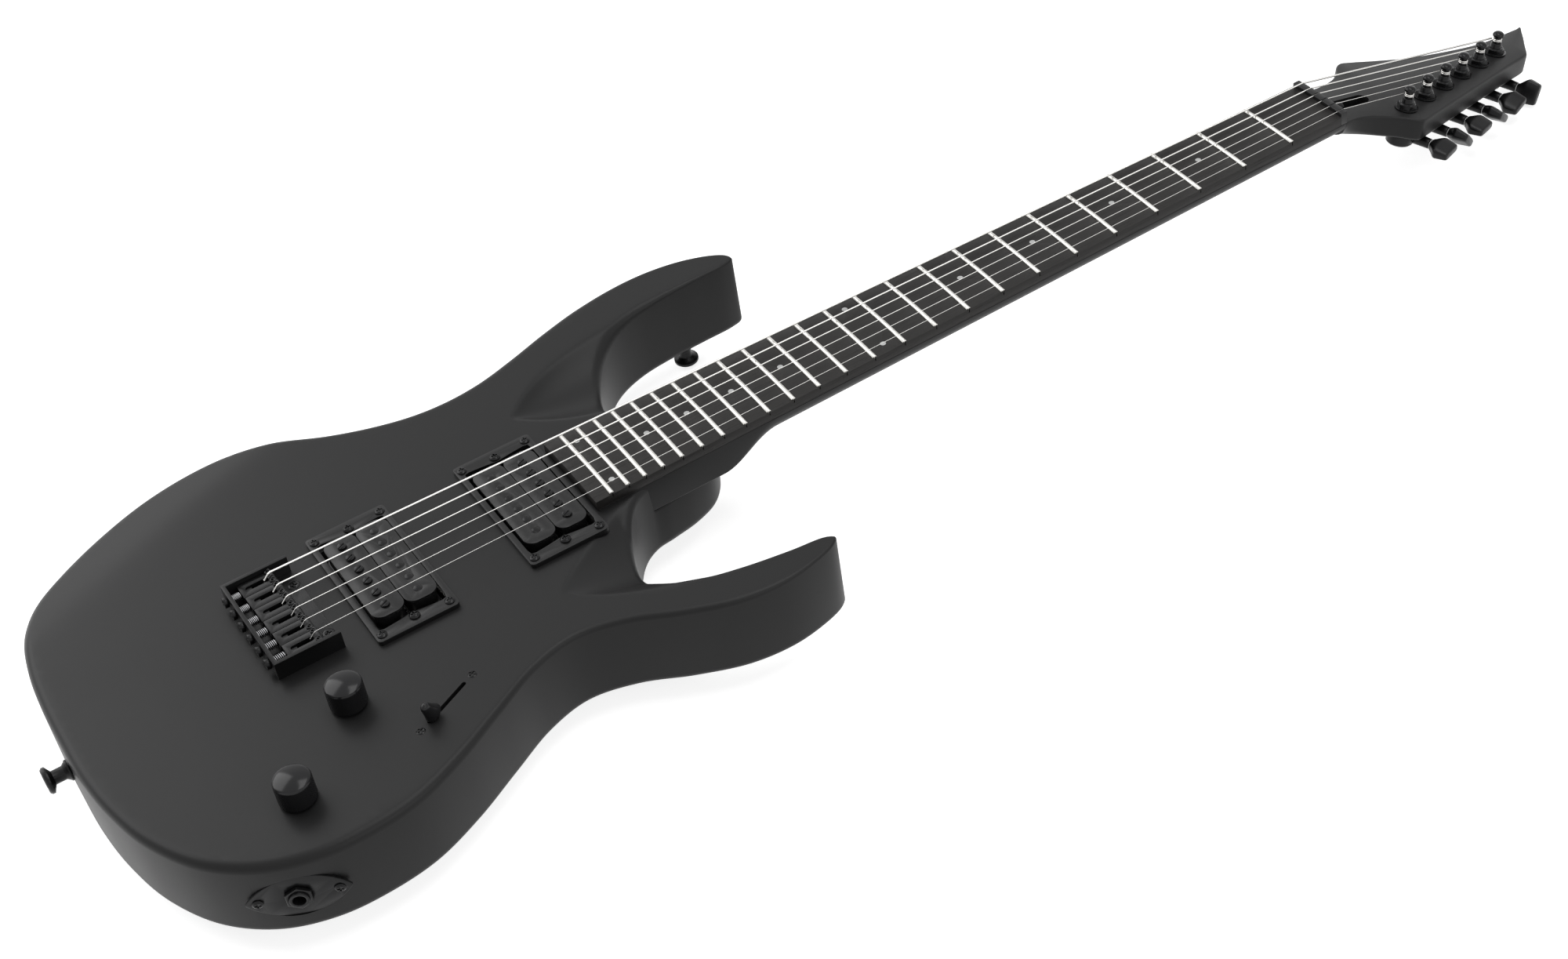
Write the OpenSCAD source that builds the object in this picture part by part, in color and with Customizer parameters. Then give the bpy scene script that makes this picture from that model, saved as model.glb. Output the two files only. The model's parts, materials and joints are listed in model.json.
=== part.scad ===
// Solid-body electric guitar: bolt-on neck, through-body strings, two open-coil pickups and
// six tuning machines in line. The model is drawn about the string centreline: x = 0 is where
// the scale length ends at the bridge, +X runs to the headstock, +Y is the bass side and z = 0
// is the body's face. place() then moves it so that the origin lies under the middle of it.

/* [Scale and fretboard] */
// Scale length from the nut to the saddle line
scale_length = 647.7; // [610:0.1:686]
// Number of frets
fret_count = 24; // [22:1:24]
// Width of the fretboard at the nut
nut_width = 42; // [38:0.1:46]
// Width of the fretboard at its body end
board_end_width = 57.6; // [52:0.1:62]
// Thickness of the fretboard along its middle
board_thickness = 6.5; // [5:0.1:8]
// Height of the fretboard's crown above the body's face
board_rise = 8.2; // [6:0.1:12]
// Radius of the fretboard's camber
board_radius = 400; // [240:1:500]
// Width of a fret's crown
fret_width = 2.7; // [2:0.1:3]
// Height of a fret above the fretboard
fret_height = 1.15; // [0.9:0.05:1.5]
// Diameter of the position dots
dot_diameter = 3.2; // [2:0.1:6]

/* [Neck and headstock] */
// Thickness of neck and fretboard together at the nut
neck_depth_nut = 18.8; // [17:0.1:24]
// Thickness of neck and fretboard together before the heel
neck_depth_heel = 22.8; // [20:0.1:27]
// Depth of the neck pocket in the body
pocket_depth = 17.5; // [14:0.1:20]
// Length of the nut along the strings
nut_length = 4.6; // [3:0.1:6]
// Angle at which the headstock leans back
head_angle = 12.2; // [8:0.1:16]
// Thickness of the headstock
head_thickness = 13.5; // [11:0.1:16]
// Diameter of the truss rod's bar
truss_bar = 5; // [4:0.1:6]

/* [Body] */
// Length of the body from the tail to the upper horn's tip
body_length = 446; // [400:1:500]
// Width of the body across its lower bout
body_width = 297; // [270:1:330]
// Thickness of the body
body_thickness = 45; // [38:0.5:50]
// Wood left above the control cavity
face_wood = 6; // [4:0.5:10]
// How far the forearm contour drops at the edge
forearm_drop = 11; // [4:0.5:16]
// Thickness of the control cover
cover_thickness = 2.4; // [1.5:0.1:3]

/* [Strings and bridge] */
// Distance from one string to the next at the bridge
bridge_pitch = 10.6; // [10:0.05:10.8]
// Distance from one string to the next at the nut
nut_pitch = 7; // [6.4:0.05:7.4]
// Height of the strings above the body's face at the bridge
string_height = 12.4; // [11:0.1:16]
// Height of the bridge's walls
bridge_wall = 11.7; // [9:0.1:14]
// Thickness of the bridge's base plate
bridge_base = 2.2; // [1.5:0.1:3]
// Diameter of the intonation screws
intonation_screw = 3; // [2.5:0.1:4]
// How far a saddle slides towards the headstock
saddle_forward = 5; // [2:0.1:6]
// How far a saddle slides towards the tail
saddle_back = 0.8; // [0.4:0.1:1]

/* [Pickups] */
// Distance of the bridge pickup's centre from the saddle line
bridge_pickup_x = 43.2; // [38:0.1:60]
// Distance of the neck pickup's centre from the saddle line
neck_pickup_x = 128; // [110:0.1:129]
// Height of the bridge pickup's bobbins above the body's face
bridge_bobbin_top = 7; // [4:0.1:8.5]
// Height of the neck pickup's bobbins above the body's face
neck_bobbin_top = 5.3; // [3:0.1:7]
// Thickness of the pickup rings
ring_height = 3.9; // [2:0.1:6]

/* [Controls] */
// Diameter of the knobs
knob_diameter = 19; // [15:0.1:22]
// Height of the knobs
knob_height = 17.5; // [13:0.1:20]
// Diameter of the potentiometer shafts
pot_shaft = 6; // [5:0.1:7]
// Angle the switch lever leans to each side
lever_angle = 26.5; // [15:0.5:30]
// Diameter of the jack socket's sleeve hole
jack_bore = 6.35; // [6.3:0.01:6.6]

/* [Tuning machines] */
// Distance between neighbouring string posts
post_pitch = 21.3; // [20:0.1:26]
// Diameter of the string posts
post_diameter = 6.6; // [5.5:0.1:7]
// Height of the string posts above the headstock
post_height = 14.2; // [12:0.1:20]
// Diameter of the round machine housing
housing_diameter = 16; // [14:0.1:17]
// Length of a tuning key's button
key_length = 13.5; // [10:0.1:18]

/* [Hidden] */
$fn = 48;

fit = 0.1;        // gap between still pieces that fit one another
play = 0.3;       // gap between pieces that move past one another
running = 0.05;   // radial clearance of a shaft in its bore
black = [0.10, 0.10, 0.11];
satin = [0.20, 0.20, 0.21];
ebony = [0.13, 0.12, 0.12];
nickel = [0.80, 0.79, 0.76];
dark_metal = [0.16, 0.16, 0.17];
copper = [0.62, 0.34, 0.22];

// Vertical levels
board_under = board_rise - board_thickness;
fret_top = board_rise + fret_height;
cover_level = -body_thickness + cover_thickness;

// Places along the neck
function fret_x(n) = scale_length * pow(2, -n / 12);
board_end = fret_x(fret_count) - 9.9;
nut_end = scale_length + nut_length;
heel_start = board_end + 80;
function board_half(x) = (nut_width
    + (board_end_width - nut_width) * (scale_length - x) / (scale_length - board_end)) / 2;

// A row of dots stands between the frets of these numbers and the ones before them
single_dots = [3, 5, 7, 9, 15, 17, 19, 21];
double_dots = [12, 24];
function dot_x(n) = (fret_x(n) + fret_x(n - 1)) / 2;
function camber(y) = board_rise - board_radius + sqrt(board_radius * board_radius - y * y);

// Curve through points with even pull, so that close points don't loop
function cr_point(p0, p1, p2, p3, u) =
    let (
        a = sqrt(norm(p1 - p0)), b = sqrt(norm(p2 - p1)), c = sqrt(norm(p3 - p2)),
        m1 = p2 - p1 + b * ((p1 - p0) / a - (p2 - p0) / (a + b)),
        m2 = p2 - p1 + b * ((p3 - p2) / c - (p3 - p1) / (b + c))
    )
    (2 * (p1 - p2) + m1 + m2) * u * u * u - (3 * (p1 - p2) + 2 * m1 + m2) * u * u + m1 * u + p1;
function smooth_loop(p, n) = [
    for (i = [0:len(p) - 1]) for (k = [0:n - 1])
        cr_point(p[(i + len(p) - 1) % len(p)], p[i], p[(i + 1) % len(p)],
                 p[(i + 2) % len(p)], k / n)
];
function unit(v) = v / norm(v);
function pushed(p, c, d) = [for (q = p) q + d * unit(q - c)];

// Body outline, from the tail round the treble side, the horns and back by the bass side
outline_points = [
    [-131, 0], [-131, -30], [-128, -58], [-120.5, -88], [-105, -117], [-83, -136.5],
    [-58, -146], [-33, -147.8], [-6, -144.5], [22, -133.5], [50, -118.5], [76, -105],
    [100, -99.5], [125, -105.5], [150, -118.5], [176, -129], [200, -132], [220, -129.3],
    [233, -124.8], [236.8, -120.8], [233, -117.6], [214, -114.4], [190, -109],
    [170, -102.5], [156, -93], [150, -79], [152.5, -64], [160, -47.5], [170.5, -34.5],
    [181, -28.8], [188, 0], [195, 28.8], [195.5, 42], [199.5, 57], [206.5, 71.5],
    [216.5, 84.5], [229, 93.8], [245, 99.8], [265, 102.6], [288, 103.6], [307, 104.4],
    [313.5, 106.6], [312.8, 111], [307, 116.4], [289, 124.4], [268, 129], [246, 129.8],
    [222, 126.6], [197, 119.8], [172, 111.4], [150, 105.3], [130, 103.2], [111, 104.6],
    [90, 110.2], [66, 120.4], [40, 135.8], [14, 146.6], [-10, 149.2], [-35, 145.8],
    [-62, 135.4], [-88, 120.2], [-108, 103.4], [-120, 83], [-127, 56], [-130, 28]
];
tail_x = -131;
function body_point(p) = [tail_x + (p.x - tail_x) * body_length / 446, p.y * body_width / 297];
body_outline = smooth_loop([for (p = outline_points) body_point(p)], 3);

// The tongue that carries the heel reaches past both cutaways under the neck
tongue_reach = heel_start - board_end + 1;
tongue_points = [
    [0, -24], [24, -28], [44, -27.5], [60, -24], [73, -16], [tongue_reach, 0],
    [73, 16], [60, 24], [44, 27.5], [24, 28], [0, 24]
];

// Headstock outline in its own plane: s runs from the nut's end to the tip, t is +Y
head_s = nut_end;
head_top = board_under - 1.2;
head_points = [
    [-9, 20.6], [4, 21.4], [14, 22.4], [24, 24.6], [33, 28], [40, 33.4], [46, 39.4],
    [50, 41.2], [56, 40], [72, 35], [92, 29.6], [115, 26.4], [138, 24.7], [154, 25],
    [171, 27.6], [188.4, 30.6], [190, 29.4], [183, 20], [174.6, 10], [168.8, 2.8], [166.6, 0.6],
    [148, -5.2], [120, -13.9], [92, -22.6], [64, -31.3], [48.4, -36.2], [45.4, -36.6],
    [42, -34.4], [37.5, -30], [31, -25.2], [21, -20.2], [11, -18], [3, -18.6], [-9, -20.6]
];
head_outline = smooth_loop(head_points, 3);

// Tuning machines: the first post is the one nearest the nut
post_line_angle = 17;
first_post = [46.8, -20.4];
function post_st(i) = first_post
    + post_pitch * i * [cos(post_line_angle), sin(post_line_angle)];
shaft_level = -head_thickness - 5;
worm_offset = 5;
key_start = 18.4;
worm_r = 1.75;
bush_r = 4.9;
housing_depth = 8.6;
key_turns = [14, -38, 10, -30, 24, 78];

// Strings: 0 is the low E on the bass side, 5 the high E
string_gauges = [1.17, 0.91, 0.66, 0.43, 0.33, 0.25];
function string_r(i) = string_gauges[i] / 2;
function string_y(i, x) = (2.5 - i)
    * (bridge_pitch + (nut_pitch - bridge_pitch) * x / scale_length);
function break_x(i) = -3.6 + 0.3 * i;
rise_back = 4.2;
nut_slot = fret_top + 0.35;
function string_z(i, x) = string_height + (nut_slot - string_height) * x / scale_length;

// Bridge
bridge_back = -28.2;
bridge_front = 7.4;
bridge_half = bridge_pitch * 3 + 2.5;
wall = 2.1;
saddle_length = 18.8;
saddle_rear = -17.4;
saddle_width = bridge_pitch - play;
foot_y = saddle_width / 2 - 1.75;
screw_level = 7;
saddle_top = string_height - 1.5;
saddle_foot = 5.2;
bridge_screw_r = 1.7;
bridge_screw_head_r = 3;
bridge_screw_head = 1.5;

// Pickups
ring_half_x = 22.25;
ring_half_y = 45.5;
opening_half_x = 19;
opening_end = 38;
opening_middle = 36;
ring_screw_x = 18.6;
ring_screw_y = 41.05;
height_screw_y = 39.25;
row_half = 9;
bobbin_x = 17.6;
bobbin_y = 67;
bobbin_depth = 10.5;
flange = 1.2;
core_x = 7;
core_y = 59;
slug_r = 2.35;
cavity_depth = 22;
function pole_pitch(neck_end) = neck_end ? 9.9 : 10.3;

// Controls
volume_at = [-7.2, -70.3];
tone_at = [-51.4, -110.1];
switch_at = [30.75, -99.15];
switch_turn = 26.1;
switch_screw_half = 20.1;
slot_half = 14.5;
lever_pivot = 16;
cavity_points = [
    [-14, -52], [12, -57], [36, -73], [58, -79], [63, -90], [52, -100], [34, -110],
    [8, -122], [-24, -130], [-52, -127], [-67, -114], [-66, -98], [-48, -84], [-30, -66]
];
cavity_centre = [-4, -96];
cavity_floor = -face_wood;

// Jack: on the treble side of the lower bout, square to the edge there
jack_at = [-71.5, -141.4];
jack_turn = -112.5;
jack_level = -body_thickness / 2;

// Strap buttons
tail_button = [tail_x - play, -1.5, -body_thickness / 2 + 2];
horn_button = let (p = body_point([277, 112])) [p.x, p.y, -body_thickness - fit];
strap_height = 13;

// Where the origin lies: under the middle of the whole guitar, on the surface it lies on
head_tip_s = 190;
head_tip_x = head_s + head_tip_s * cos(head_angle);
tail_end_x = tail_x - strap_height;
centre_x = (head_tip_x + tail_end_x) / 2;
rest_level = 60.1;

module place() translate([-centre_x, 0, rest_level]) children();
module at_head() translate([head_s, 0, head_top]) rotate([0, head_angle, 0]) children();
module at_post(i) at_head() translate([post_st(i).x, post_st(i).y, 0]) children();
module at_tuner(i) at_post(i) rotate([0, 0, post_line_angle - 90]) children();
module at_switch() translate([switch_at.x, switch_at.y, 0]) rotate([0, 0, switch_turn]) children();
module at_jack() translate([jack_at.x, jack_at.y, jack_level])
    rotate([0, 0, jack_turn]) rotate([0, 90, 0]) children();
module at_saddle(i) translate([break_x(i), string_y(i, 0), 0]) children();
module along_x(x0, x1, r) translate([x0, 0, 0]) rotate([0, 90, 0]) cylinder(h = x1 - x0, r = r);
module both_y() { children(); mirror([0, 1, 0]) children(); }
module box(lo, hi) translate(lo) cube(hi - lo);

// A flat plate with rounded corners, centred, from z = 0 up
module rounded_plate(x, y, h, r) linear_extrude(h) rounded_flat(x, y, r);
module rounded_flat(x, y, r) {
    square([x - 2 * r, y], center = true);
    square([x, y - 2 * r], center = true);
    for (a = [-1, 1], b = [-1, 1]) translate([a * (x / 2 - r), b * (y / 2 - r)]) circle(r);
}

// A straight run of round stock between two points, with a slightly fuller ball at its far end
ball = 1.06;
module rod(p, q, r) {
    d = q - p;
    translate(p) rotate([0, acos(d.z / norm(d)), atan2(d.y, d.x)]) {
        cylinder(h = norm(d), r = r, $fn = 16);
        translate([0, 0, norm(d)]) sphere(r * ball, $fn = 16);
    }
}
module run(points, r) {
    translate(points[0]) sphere(r * ball, $fn = 16);
    for (k = [1:len(points) - 1]) rod(points[k - 1], points[k], r);
}

// A cross-recessed screw: domed head from z = 0 up, shank below
module cross_screw(head_r, head_h, shank_r, shank_l) {
    difference() {
        union() {
            cylinder(h = head_h * 0.45, r = head_r);
            translate([0, 0, head_h * 0.45]) cylinder(h = head_h * 0.55, r1 = head_r, r2 = head_r * 0.6);
            translate([0, 0, -shank_l]) cylinder(h = shank_l + 0.1, r = shank_r);
        }
        for (a = [0, 90]) rotate([0, 0, a]) translate([0, 0, head_h])
            cube([head_r * 1.2, head_r * 0.28, head_h], center = true);
    }
}

// A countersunk screw: its flat head's top at z = 0, shank below
module flat_screw(head_r, head_h, shank_r, shank_l) {
    difference() {
        union() {
            translate([0, 0, -head_h]) cylinder(h = head_h, r1 = shank_r + 0.1, r2 = head_r);
            translate([0, 0, -shank_l]) cylinder(h = shank_l - head_h + 0.1, r = shank_r);
        }
        for (a = [0, 90]) rotate([0, 0, a])
            cube([head_r * 1.2, head_r * 0.28, head_h], center = true);
    }
}

// A coil spring about the z axis, from z = 0 to h
module coil(r, wire, h, turns, sides = 4, steps = 8) {
    rings = turns * steps;
    points = [for (k = [0:rings]) for (j = [0:sides - 1])
        let (a = 360 * k / steps, b = 360 * j / sides, q = r + wire * cos(b))
        [q * cos(a), q * sin(a), wire + (h - 2 * wire) * k / rings + wire * sin(b)]];
    walls = [for (k = [0:rings - 1]) for (j = [0:sides - 1])
        let (a = k * sides + j, b = k * sides + (j + 1) % sides)
        each [[a, b + sides, b], [a, a + sides, b + sides]]];
    polyhedron(points, concat(walls, [[for (j = [0:sides - 1]) j]],
        [[for (j = [sides - 1:-1:0]) rings * sides + j]]));
}

// --- Body ---

module pickup_cavity(x) translate([x, 0, -cavity_depth]) {
    rounded_plate(40, 71, cavity_depth + 1, 3);
    rounded_plate(14, 2 * (height_screw_y + 5), cavity_depth + 1, 3);
}
module each_ring_screw() for (x = [bridge_pickup_x, neck_pickup_x], a = [-1, 1], b = [-1, 1])
    translate([x + a * ring_screw_x, b * ring_screw_y, ring_height]) children();
module each_height_screw() for (x = [bridge_pickup_x, neck_pickup_x], b = [-1, 1])
    translate([x, b * height_screw_y, ring_height]) children();
module each_bridge_screw() for (x = [bridge_back + 5.2, bridge_front - 3.2], b = [-1, 1])
    translate([x, b * bridge_pitch * 2, bridge_base]) children();
cover_screw_at = [[-18, -47.6], [44, -72], [60, -98], [10, -127.4], [-58, -130.4], [-60, -84]];
module each_cover_screw() for (p = cover_screw_at) translate([p.x, p.y, -body_thickness])
    rotate([180, 0, 0]) children();
bolt_x = [board_end + 12, heel_start - 37];
bolt_y = 15;
module each_bolt() for (x = bolt_x, b = [-1, 1])
    translate([x, b * bolt_y, -body_thickness]) rotate([180, 0, 0]) children();
ferrule_x = -26;
module each_string_hole() for (i = [0:5])
    translate([break_x(i) - rise_back, string_y(i, 0), -body_thickness]) children();

module body_cuts() {
    // Neck pocket, open towards the headstock
    translate([0, 0, -pocket_depth]) linear_extrude(pocket_depth + 1) polygon([
        [board_end + 1, -board_half(board_end) - fit], [board_end + 1, board_half(board_end) + fit],
        [heel_start + 20, board_half(heel_start) + 1.5 + fit],
        [heel_start + 20, -board_half(heel_start) - 1.5 - fit]]);
    for (x = [bridge_pickup_x, neck_pickup_x]) pickup_cavity(x);
    // Control cavity with the ledge that the cover sits in
    translate([0, 0, -body_thickness - 1]) linear_extrude(body_thickness + 1 + cavity_floor)
        polygon(smooth_loop(cavity_points, 3));
    translate([0, 0, -body_thickness - 1]) linear_extrude(1 + cover_thickness)
        polygon(smooth_loop(pushed(cavity_points, cavity_centre, 8), 3));
    for (p = [volume_at, tone_at]) translate([p.x, p.y, -body_thickness / 2])
        cylinder(h = body_thickness, r = 4 + fit);
    at_switch() translate([0, 0, cavity_floor - 1]) {
        cube([2 * slot_half - 2.2, 2.2, 20], center = true);
        for (a = [-1, 1]) translate([a * (slot_half - 1.1), 0, -10]) cylinder(h = 20, r = 1.1);
        for (a = [-1, 1]) translate([a * switch_screw_half, 0, -1]) cylinder(h = 20, r = 1.6);
    }
    // Wire channels between the cavities, and one up to the bridge
    rod([-6, -62, -24], [bridge_pickup_x - 8, -28, -16], 4);
    rod([bridge_pickup_x + 15, 0, -16], [neck_pickup_x - 15, 0, -16], 4);
    rod([-14, -62, -20], [-16, -24, -1], 1.6);
    // Jack socket: a recess for its plate and a bore into the control cavity
    at_jack() {
        translate([0, 0, -1.5]) jack_outline(6, fit);
        translate([0, 0, -24]) cylinder(h = 30, r = 11);
    }
    // String holes and ferrule seats
    each_string_hole() {
        translate([0, 0, -1]) cylinder(h = body_thickness + 2, r = 1.8);
        translate([0, 0, -1]) cylinder(h = 8 + 1 + fit, r = 3.5 + fit);
    }
    // Screw holes
    each_ring_screw() translate([0, 0, -20]) cylinder(h = 20, r = 1.2 + running);
    each_bridge_screw() translate([0, 0, -22]) cylinder(h = 22, r = bridge_screw_r + running);
    each_cover_screw() translate([0, 0, -14]) cylinder(h = 14, r = 1.4 + running);
    each_bolt() {
        translate([0, 0, -46]) cylinder(h = 47, r = 2.4 + running);
        translate([0, 0, -4 - fit]) cylinder(h = 6, r = 7.5 + fit);
    }
    translate(tail_button) rotate([0, -90, 0]) translate([0, 0, -26]) cylinder(h = 27, r = 1.9 + running);
    translate(horn_button) rotate([180, 0, 0]) translate([0, 0, -26]) cylinder(h = 27, r = 1.9 + running);
    at_jack() for (a = [-1, 1]) translate([0, a * 19, -14]) cylinder(h = 16, r = 1.3 + running);
    // Forearm contour across the bass lower bout, and the belly cut behind it
    translate([-22, 118, 0]) rotate([0, 0, 21]) rotate([-16, 0, 0])
        translate([-150, -1, 0]) cube([300, 90, 40]);
    translate([-10, 128, -body_thickness]) rotate([0, 0, 12]) rotate([20, 0, 0])
        translate([-90, 0, -40]) cube([180, 90, 40]);
    // Scooped cutaways
    translate([148, -62, 10]) rotate([0, 90, -22]) rotate([0, 0, 0])
        translate([0, 0, -6]) cylinder(h = 46, r1 = 8, r2 = 21);
    translate([192, 62, 11]) rotate([0, 90, 28])
        translate([0, 0, -26]) cylinder(h = 50, r1 = 8, r2 = 20);
}
module body() color(satin) difference() {
    union() {
        translate([0, 0, -body_thickness]) linear_extrude(body_thickness) polygon(body_outline);
        translate([board_end, 0, -body_thickness]) linear_extrude(body_thickness - pocket_depth)
            polygon(smooth_loop(tongue_points, 3));
    }
    body_cuts();
}

// --- Neck ---

neck_wood_nut = neck_depth_nut - board_thickness;
neck_wood_heel = neck_depth_heel - board_thickness;
function back_r(half, wood) = (half * half + wood * wood) / (2 * wood);
nut_back_r = back_r(board_half(scale_length) + 0.15, neck_wood_nut);
heel_back_r = back_r(board_half(heel_start) + 0.15, neck_wood_heel);

module neck_back() {
    a = [heel_start, 0, board_under - neck_wood_heel + heel_back_r];
    b = [scale_length, 0, board_under - neck_wood_nut + nut_back_r];
    length = norm(b - a);
    grow = (nut_back_r - heel_back_r) / length;
    translate(a) rotate([0, 90 - atan2(b.z - a.z, b.x - a.x), 0]) translate([0, 0, -30])
        cylinder(h = length + 36, r1 = heel_back_r - 30 * grow, r2 = nut_back_r + 6 * grow, $fn = 96);
}
module neck_plan(x0, x1, z0, z1) translate([0, 0, z0]) linear_extrude(z1 - z0) polygon([
    [x0, -board_half(x0)], [x1, -board_half(x1)], [x1, board_half(x1)], [x0, board_half(x0)]]);

module neck() color(satin) difference() {
    union() {
        intersection() {
            neck_plan(heel_start - 20, nut_end, -60, board_under);
            neck_back();
        }
        // Heel block, rounded up into the back of the neck
        difference() {
            neck_plan(board_end + 1, heel_start + 4, -pocket_depth, board_under);
            translate([heel_start + 4, -50, -pocket_depth - 6]) rotate([-90, 0, 0]) cylinder(h = 100, r = 10);
        }
        intersection() {
            at_head() translate([0, 0, -head_thickness]) linear_extrude(head_thickness)
                polygon(head_outline);
            box([head_s - 8, -60, -80], [head_s + 220, 60, board_under]);
        }
    }
    // Channel for the truss rod, and its access pocket in the headstock
    box([board_end + 16, -3.2, board_under - 10], [nut_end + 6, 3.2, board_under + 1]);
    at_head() translate([2, 0, -9.6]) linear_extrude(20) {
        translate([0, -4.6]) square([30, 9.2]);
        translate([30, 0]) circle(4.6);
    }
    for (i = [0:5]) at_tuner(i) {
        translate([0, 0, -head_thickness - 1]) cylinder(h = head_thickness + 2, r = bush_r + fit);
        translate([-6, 0, -head_thickness - 1]) cylinder(h = 4 + fit, r = 1 + fit);
    }
    each_bolt() translate([0, 0, -44]) cylinder(h = 46, r = 2.4 + running);
}

module camber_cylinder(r, x0, x1) translate([0, 0, board_rise - board_radius])
    along_x(x0, x1, r, $fn = 200);

module fretboard() color(ebony) difference() {
    intersection() {
        neck_plan(board_end, scale_length, board_under, board_rise + 1);
        camber_cylinder(board_radius, board_end - 1, scale_length + 1);
    }
    for (n = [1:fret_count]) translate([fret_x(n), 0, board_rise])
        cube([0.6, 80, 5.4], center = true);
    each_dot(fit / 2) cylinder(h = 6, r = dot_diameter / 2 + fit / 2);
    each_side_dot() cylinder(h = 3, r = 1.05, center = true);
}

module fret(x) {
    half = board_half(x) - 0.7;
    spread = asin(half / board_radius);
    crown = fret_width / 2;
    // Crown and tang, turned about the axis of the fretboard's camber
    translate([x, 0, board_rise - board_radius]) rotate([0, 90, 0]) rotate([0, 0, 180 - spread])
        rotate_extrude(angle = 2 * spread, $fn = 400) translate([board_radius + 0.03, 0]) {
            intersection() {
                translate([fret_height - (crown * crown + fret_height * fret_height) / (2 * fret_height), 0])
                    circle((crown * crown + fret_height * fret_height) / (2 * fret_height));
                translate([0, -crown]) square([fret_height, fret_width]);
            }
            translate([-1.4, -0.25]) square([1.5, 0.5]);
        }
}
module frets() color(nickel) for (n = [1:fret_count]) fret(fret_x(n));

dot_depth = 1.6;
function dot_level(y) = camber(abs(y) + dot_diameter / 2) - dot_depth;
module each_dot(down) {
    for (n = single_dots) if (n <= fret_count)
        translate([dot_x(n), 0, dot_level(0) - down]) children();
    for (n = double_dots, b = [-1, 1]) if (n <= fret_count)
        translate([dot_x(n), b * 18.8, dot_level(18.8) - down]) children();
}
module each_side_dot() for (n = concat(single_dots, double_dots)) if (n <= fret_count)
    translate([dot_x(n), board_half(dot_x(n)) - 1.5 + fit, board_rise - 2.6]) rotate([-90, 0, 0]) children();
module position_dots() color(nickel) {
    each_dot(0) cylinder(h = dot_depth, r = dot_diameter / 2);
    each_side_dot() cylinder(h = 2.7, r = 1, center = true);
}

module nut() color(black) difference() {
    intersection() {
        box([scale_length + fit / 2, -nut_width / 2, board_under + fit / 2],
            [nut_end - fit, nut_width / 2, nut_slot + 2]);
        translate([0, 0, board_rise - board_radius])
            along_x(scale_length - 1, nut_end + 1, board_radius + fret_height + 1.1, $fn = 200);
    }
    for (i = [0:5]) translate([scale_length - 1, string_y(i, scale_length), nut_slot]) {
        rotate([0, 90, 0]) cylinder(h = 10, r = string_r(i) + running, $fn = 24);
        translate([0, -string_r(i) - running, 0]) cube([10, 2 * (string_r(i) + running), 6]);
    }
}

truss_level = board_under - 5.9;
truss_end = nut_end + 3;
module truss_rod() color(dark_metal) {
    translate([0, 0, truss_level]) along_x(board_end + 24, truss_end + 9, truss_bar / 2 - 0.7);
    difference() {
        union() {
            box([board_end + 17, -3, board_under - 9.4], [board_end + 26, 3, board_under - 0.4]);
            box([nut_end - 22, -3, board_under - 9.4], [nut_end - 13, 3, board_under - 0.4]);
            box([board_end + 26, -3, board_under - 3.4], [nut_end - 22, 3, board_under - 0.4]);
        }
        translate([0, 0, truss_level]) along_x(board_end + 23, nut_end, truss_bar / 2 - 0.7 + running);
    }
}
module truss_nut() color(dark_metal) translate([0, 0, truss_level]) difference() {
    union() {
        along_x(truss_end, truss_end + 9, 3.4);
        translate([truss_end + 9, 0, 0]) rotate([0, 90, 0]) cylinder(h = 2, r1 = 3.4, r2 = 2.9);
    }
    along_x(truss_end - 1, truss_end + 9.2, truss_bar / 2 - 0.7 + running);
    translate([truss_end + 8, 0, 0]) rotate([0, 90, 0]) cylinder(h = 4, r = 2.3, $fn = 6);
}

module neck_bolts() color(dark_metal) each_bolt() {
    difference() {
        translate([0, 0, -3.4]) cylinder(h = 3.6, r = 7.5);
        translate([0, 0, -5]) cylinder(h = 6, r = 2.4 + running);
        translate([0, 0, -1.6]) cylinder(h = 3, r = 4.6);
    }
    difference() {
        union() {
            translate([0, 0, -1.5]) cylinder(h = 2.1, r = 4.3);
            translate([0, 0, -41]) cylinder(h = 40, r = 2.4);
        }
        for (a = [0, 90]) rotate([0, 0, a]) translate([0, 0, 0.6]) cube([5.4, 1.1, 2], center = true);
    }
}

module control_cover() color(black) difference() {
    translate([0, 0, -body_thickness]) linear_extrude(cover_thickness - fit)
        polygon(smooth_loop(pushed(cavity_points, cavity_centre, 7.7), 3));
    each_cover_screw() translate([0, 0, -5]) cylinder(h = 10, r = 1.4 + 0.2);
}
module panel_screws() color(dark_metal) {
    each_cover_screw() cross_screw(2.7, 1.4, 1.4, 12);
    at_jack() for (a = [-1, 1]) translate([0, a * 19, 0.2]) cross_screw(2.7, 1.2, 1.3, 13);
    at_switch() for (a = [-1, 1]) translate([a * switch_screw_half, 0, 0]) cross_screw(3, 1.6, 1.5, 9);
}

// --- Pickups ---

wave_points = [
    [-opening_half_x, 0], [-opening_half_x, 34], [-18.4, 37.4], [-16, opening_end], [-9, 37.3],
    [0, opening_middle], [9, 37.3], [16, opening_end], [18.4, 37.4], [opening_half_x, 34],
    [opening_half_x, 0]
];
module pickup_ring(x) color(black) translate([x, 0, 0]) difference() {
    rounded_plate(2 * ring_half_x, 2 * ring_half_y, ring_height, 2.2);
    both_y() translate([0, 0, -1]) linear_extrude(ring_height + 2)
        polygon(concat([[-opening_half_x, -0.1]], wave_points, [[opening_half_x, -0.1]]));
    for (a = [-1, 1], b = [-1, 1]) translate([a * ring_screw_x, b * ring_screw_y, -1])
        cylinder(h = 10, r = 1.2 + 0.2);
    for (b = [-1, 1]) translate([0, b * height_screw_y, -1]) cylinder(h = 10, r = 1.5 + 0.2);
}
module bridge_ring() pickup_ring(bridge_pickup_x);
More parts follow.
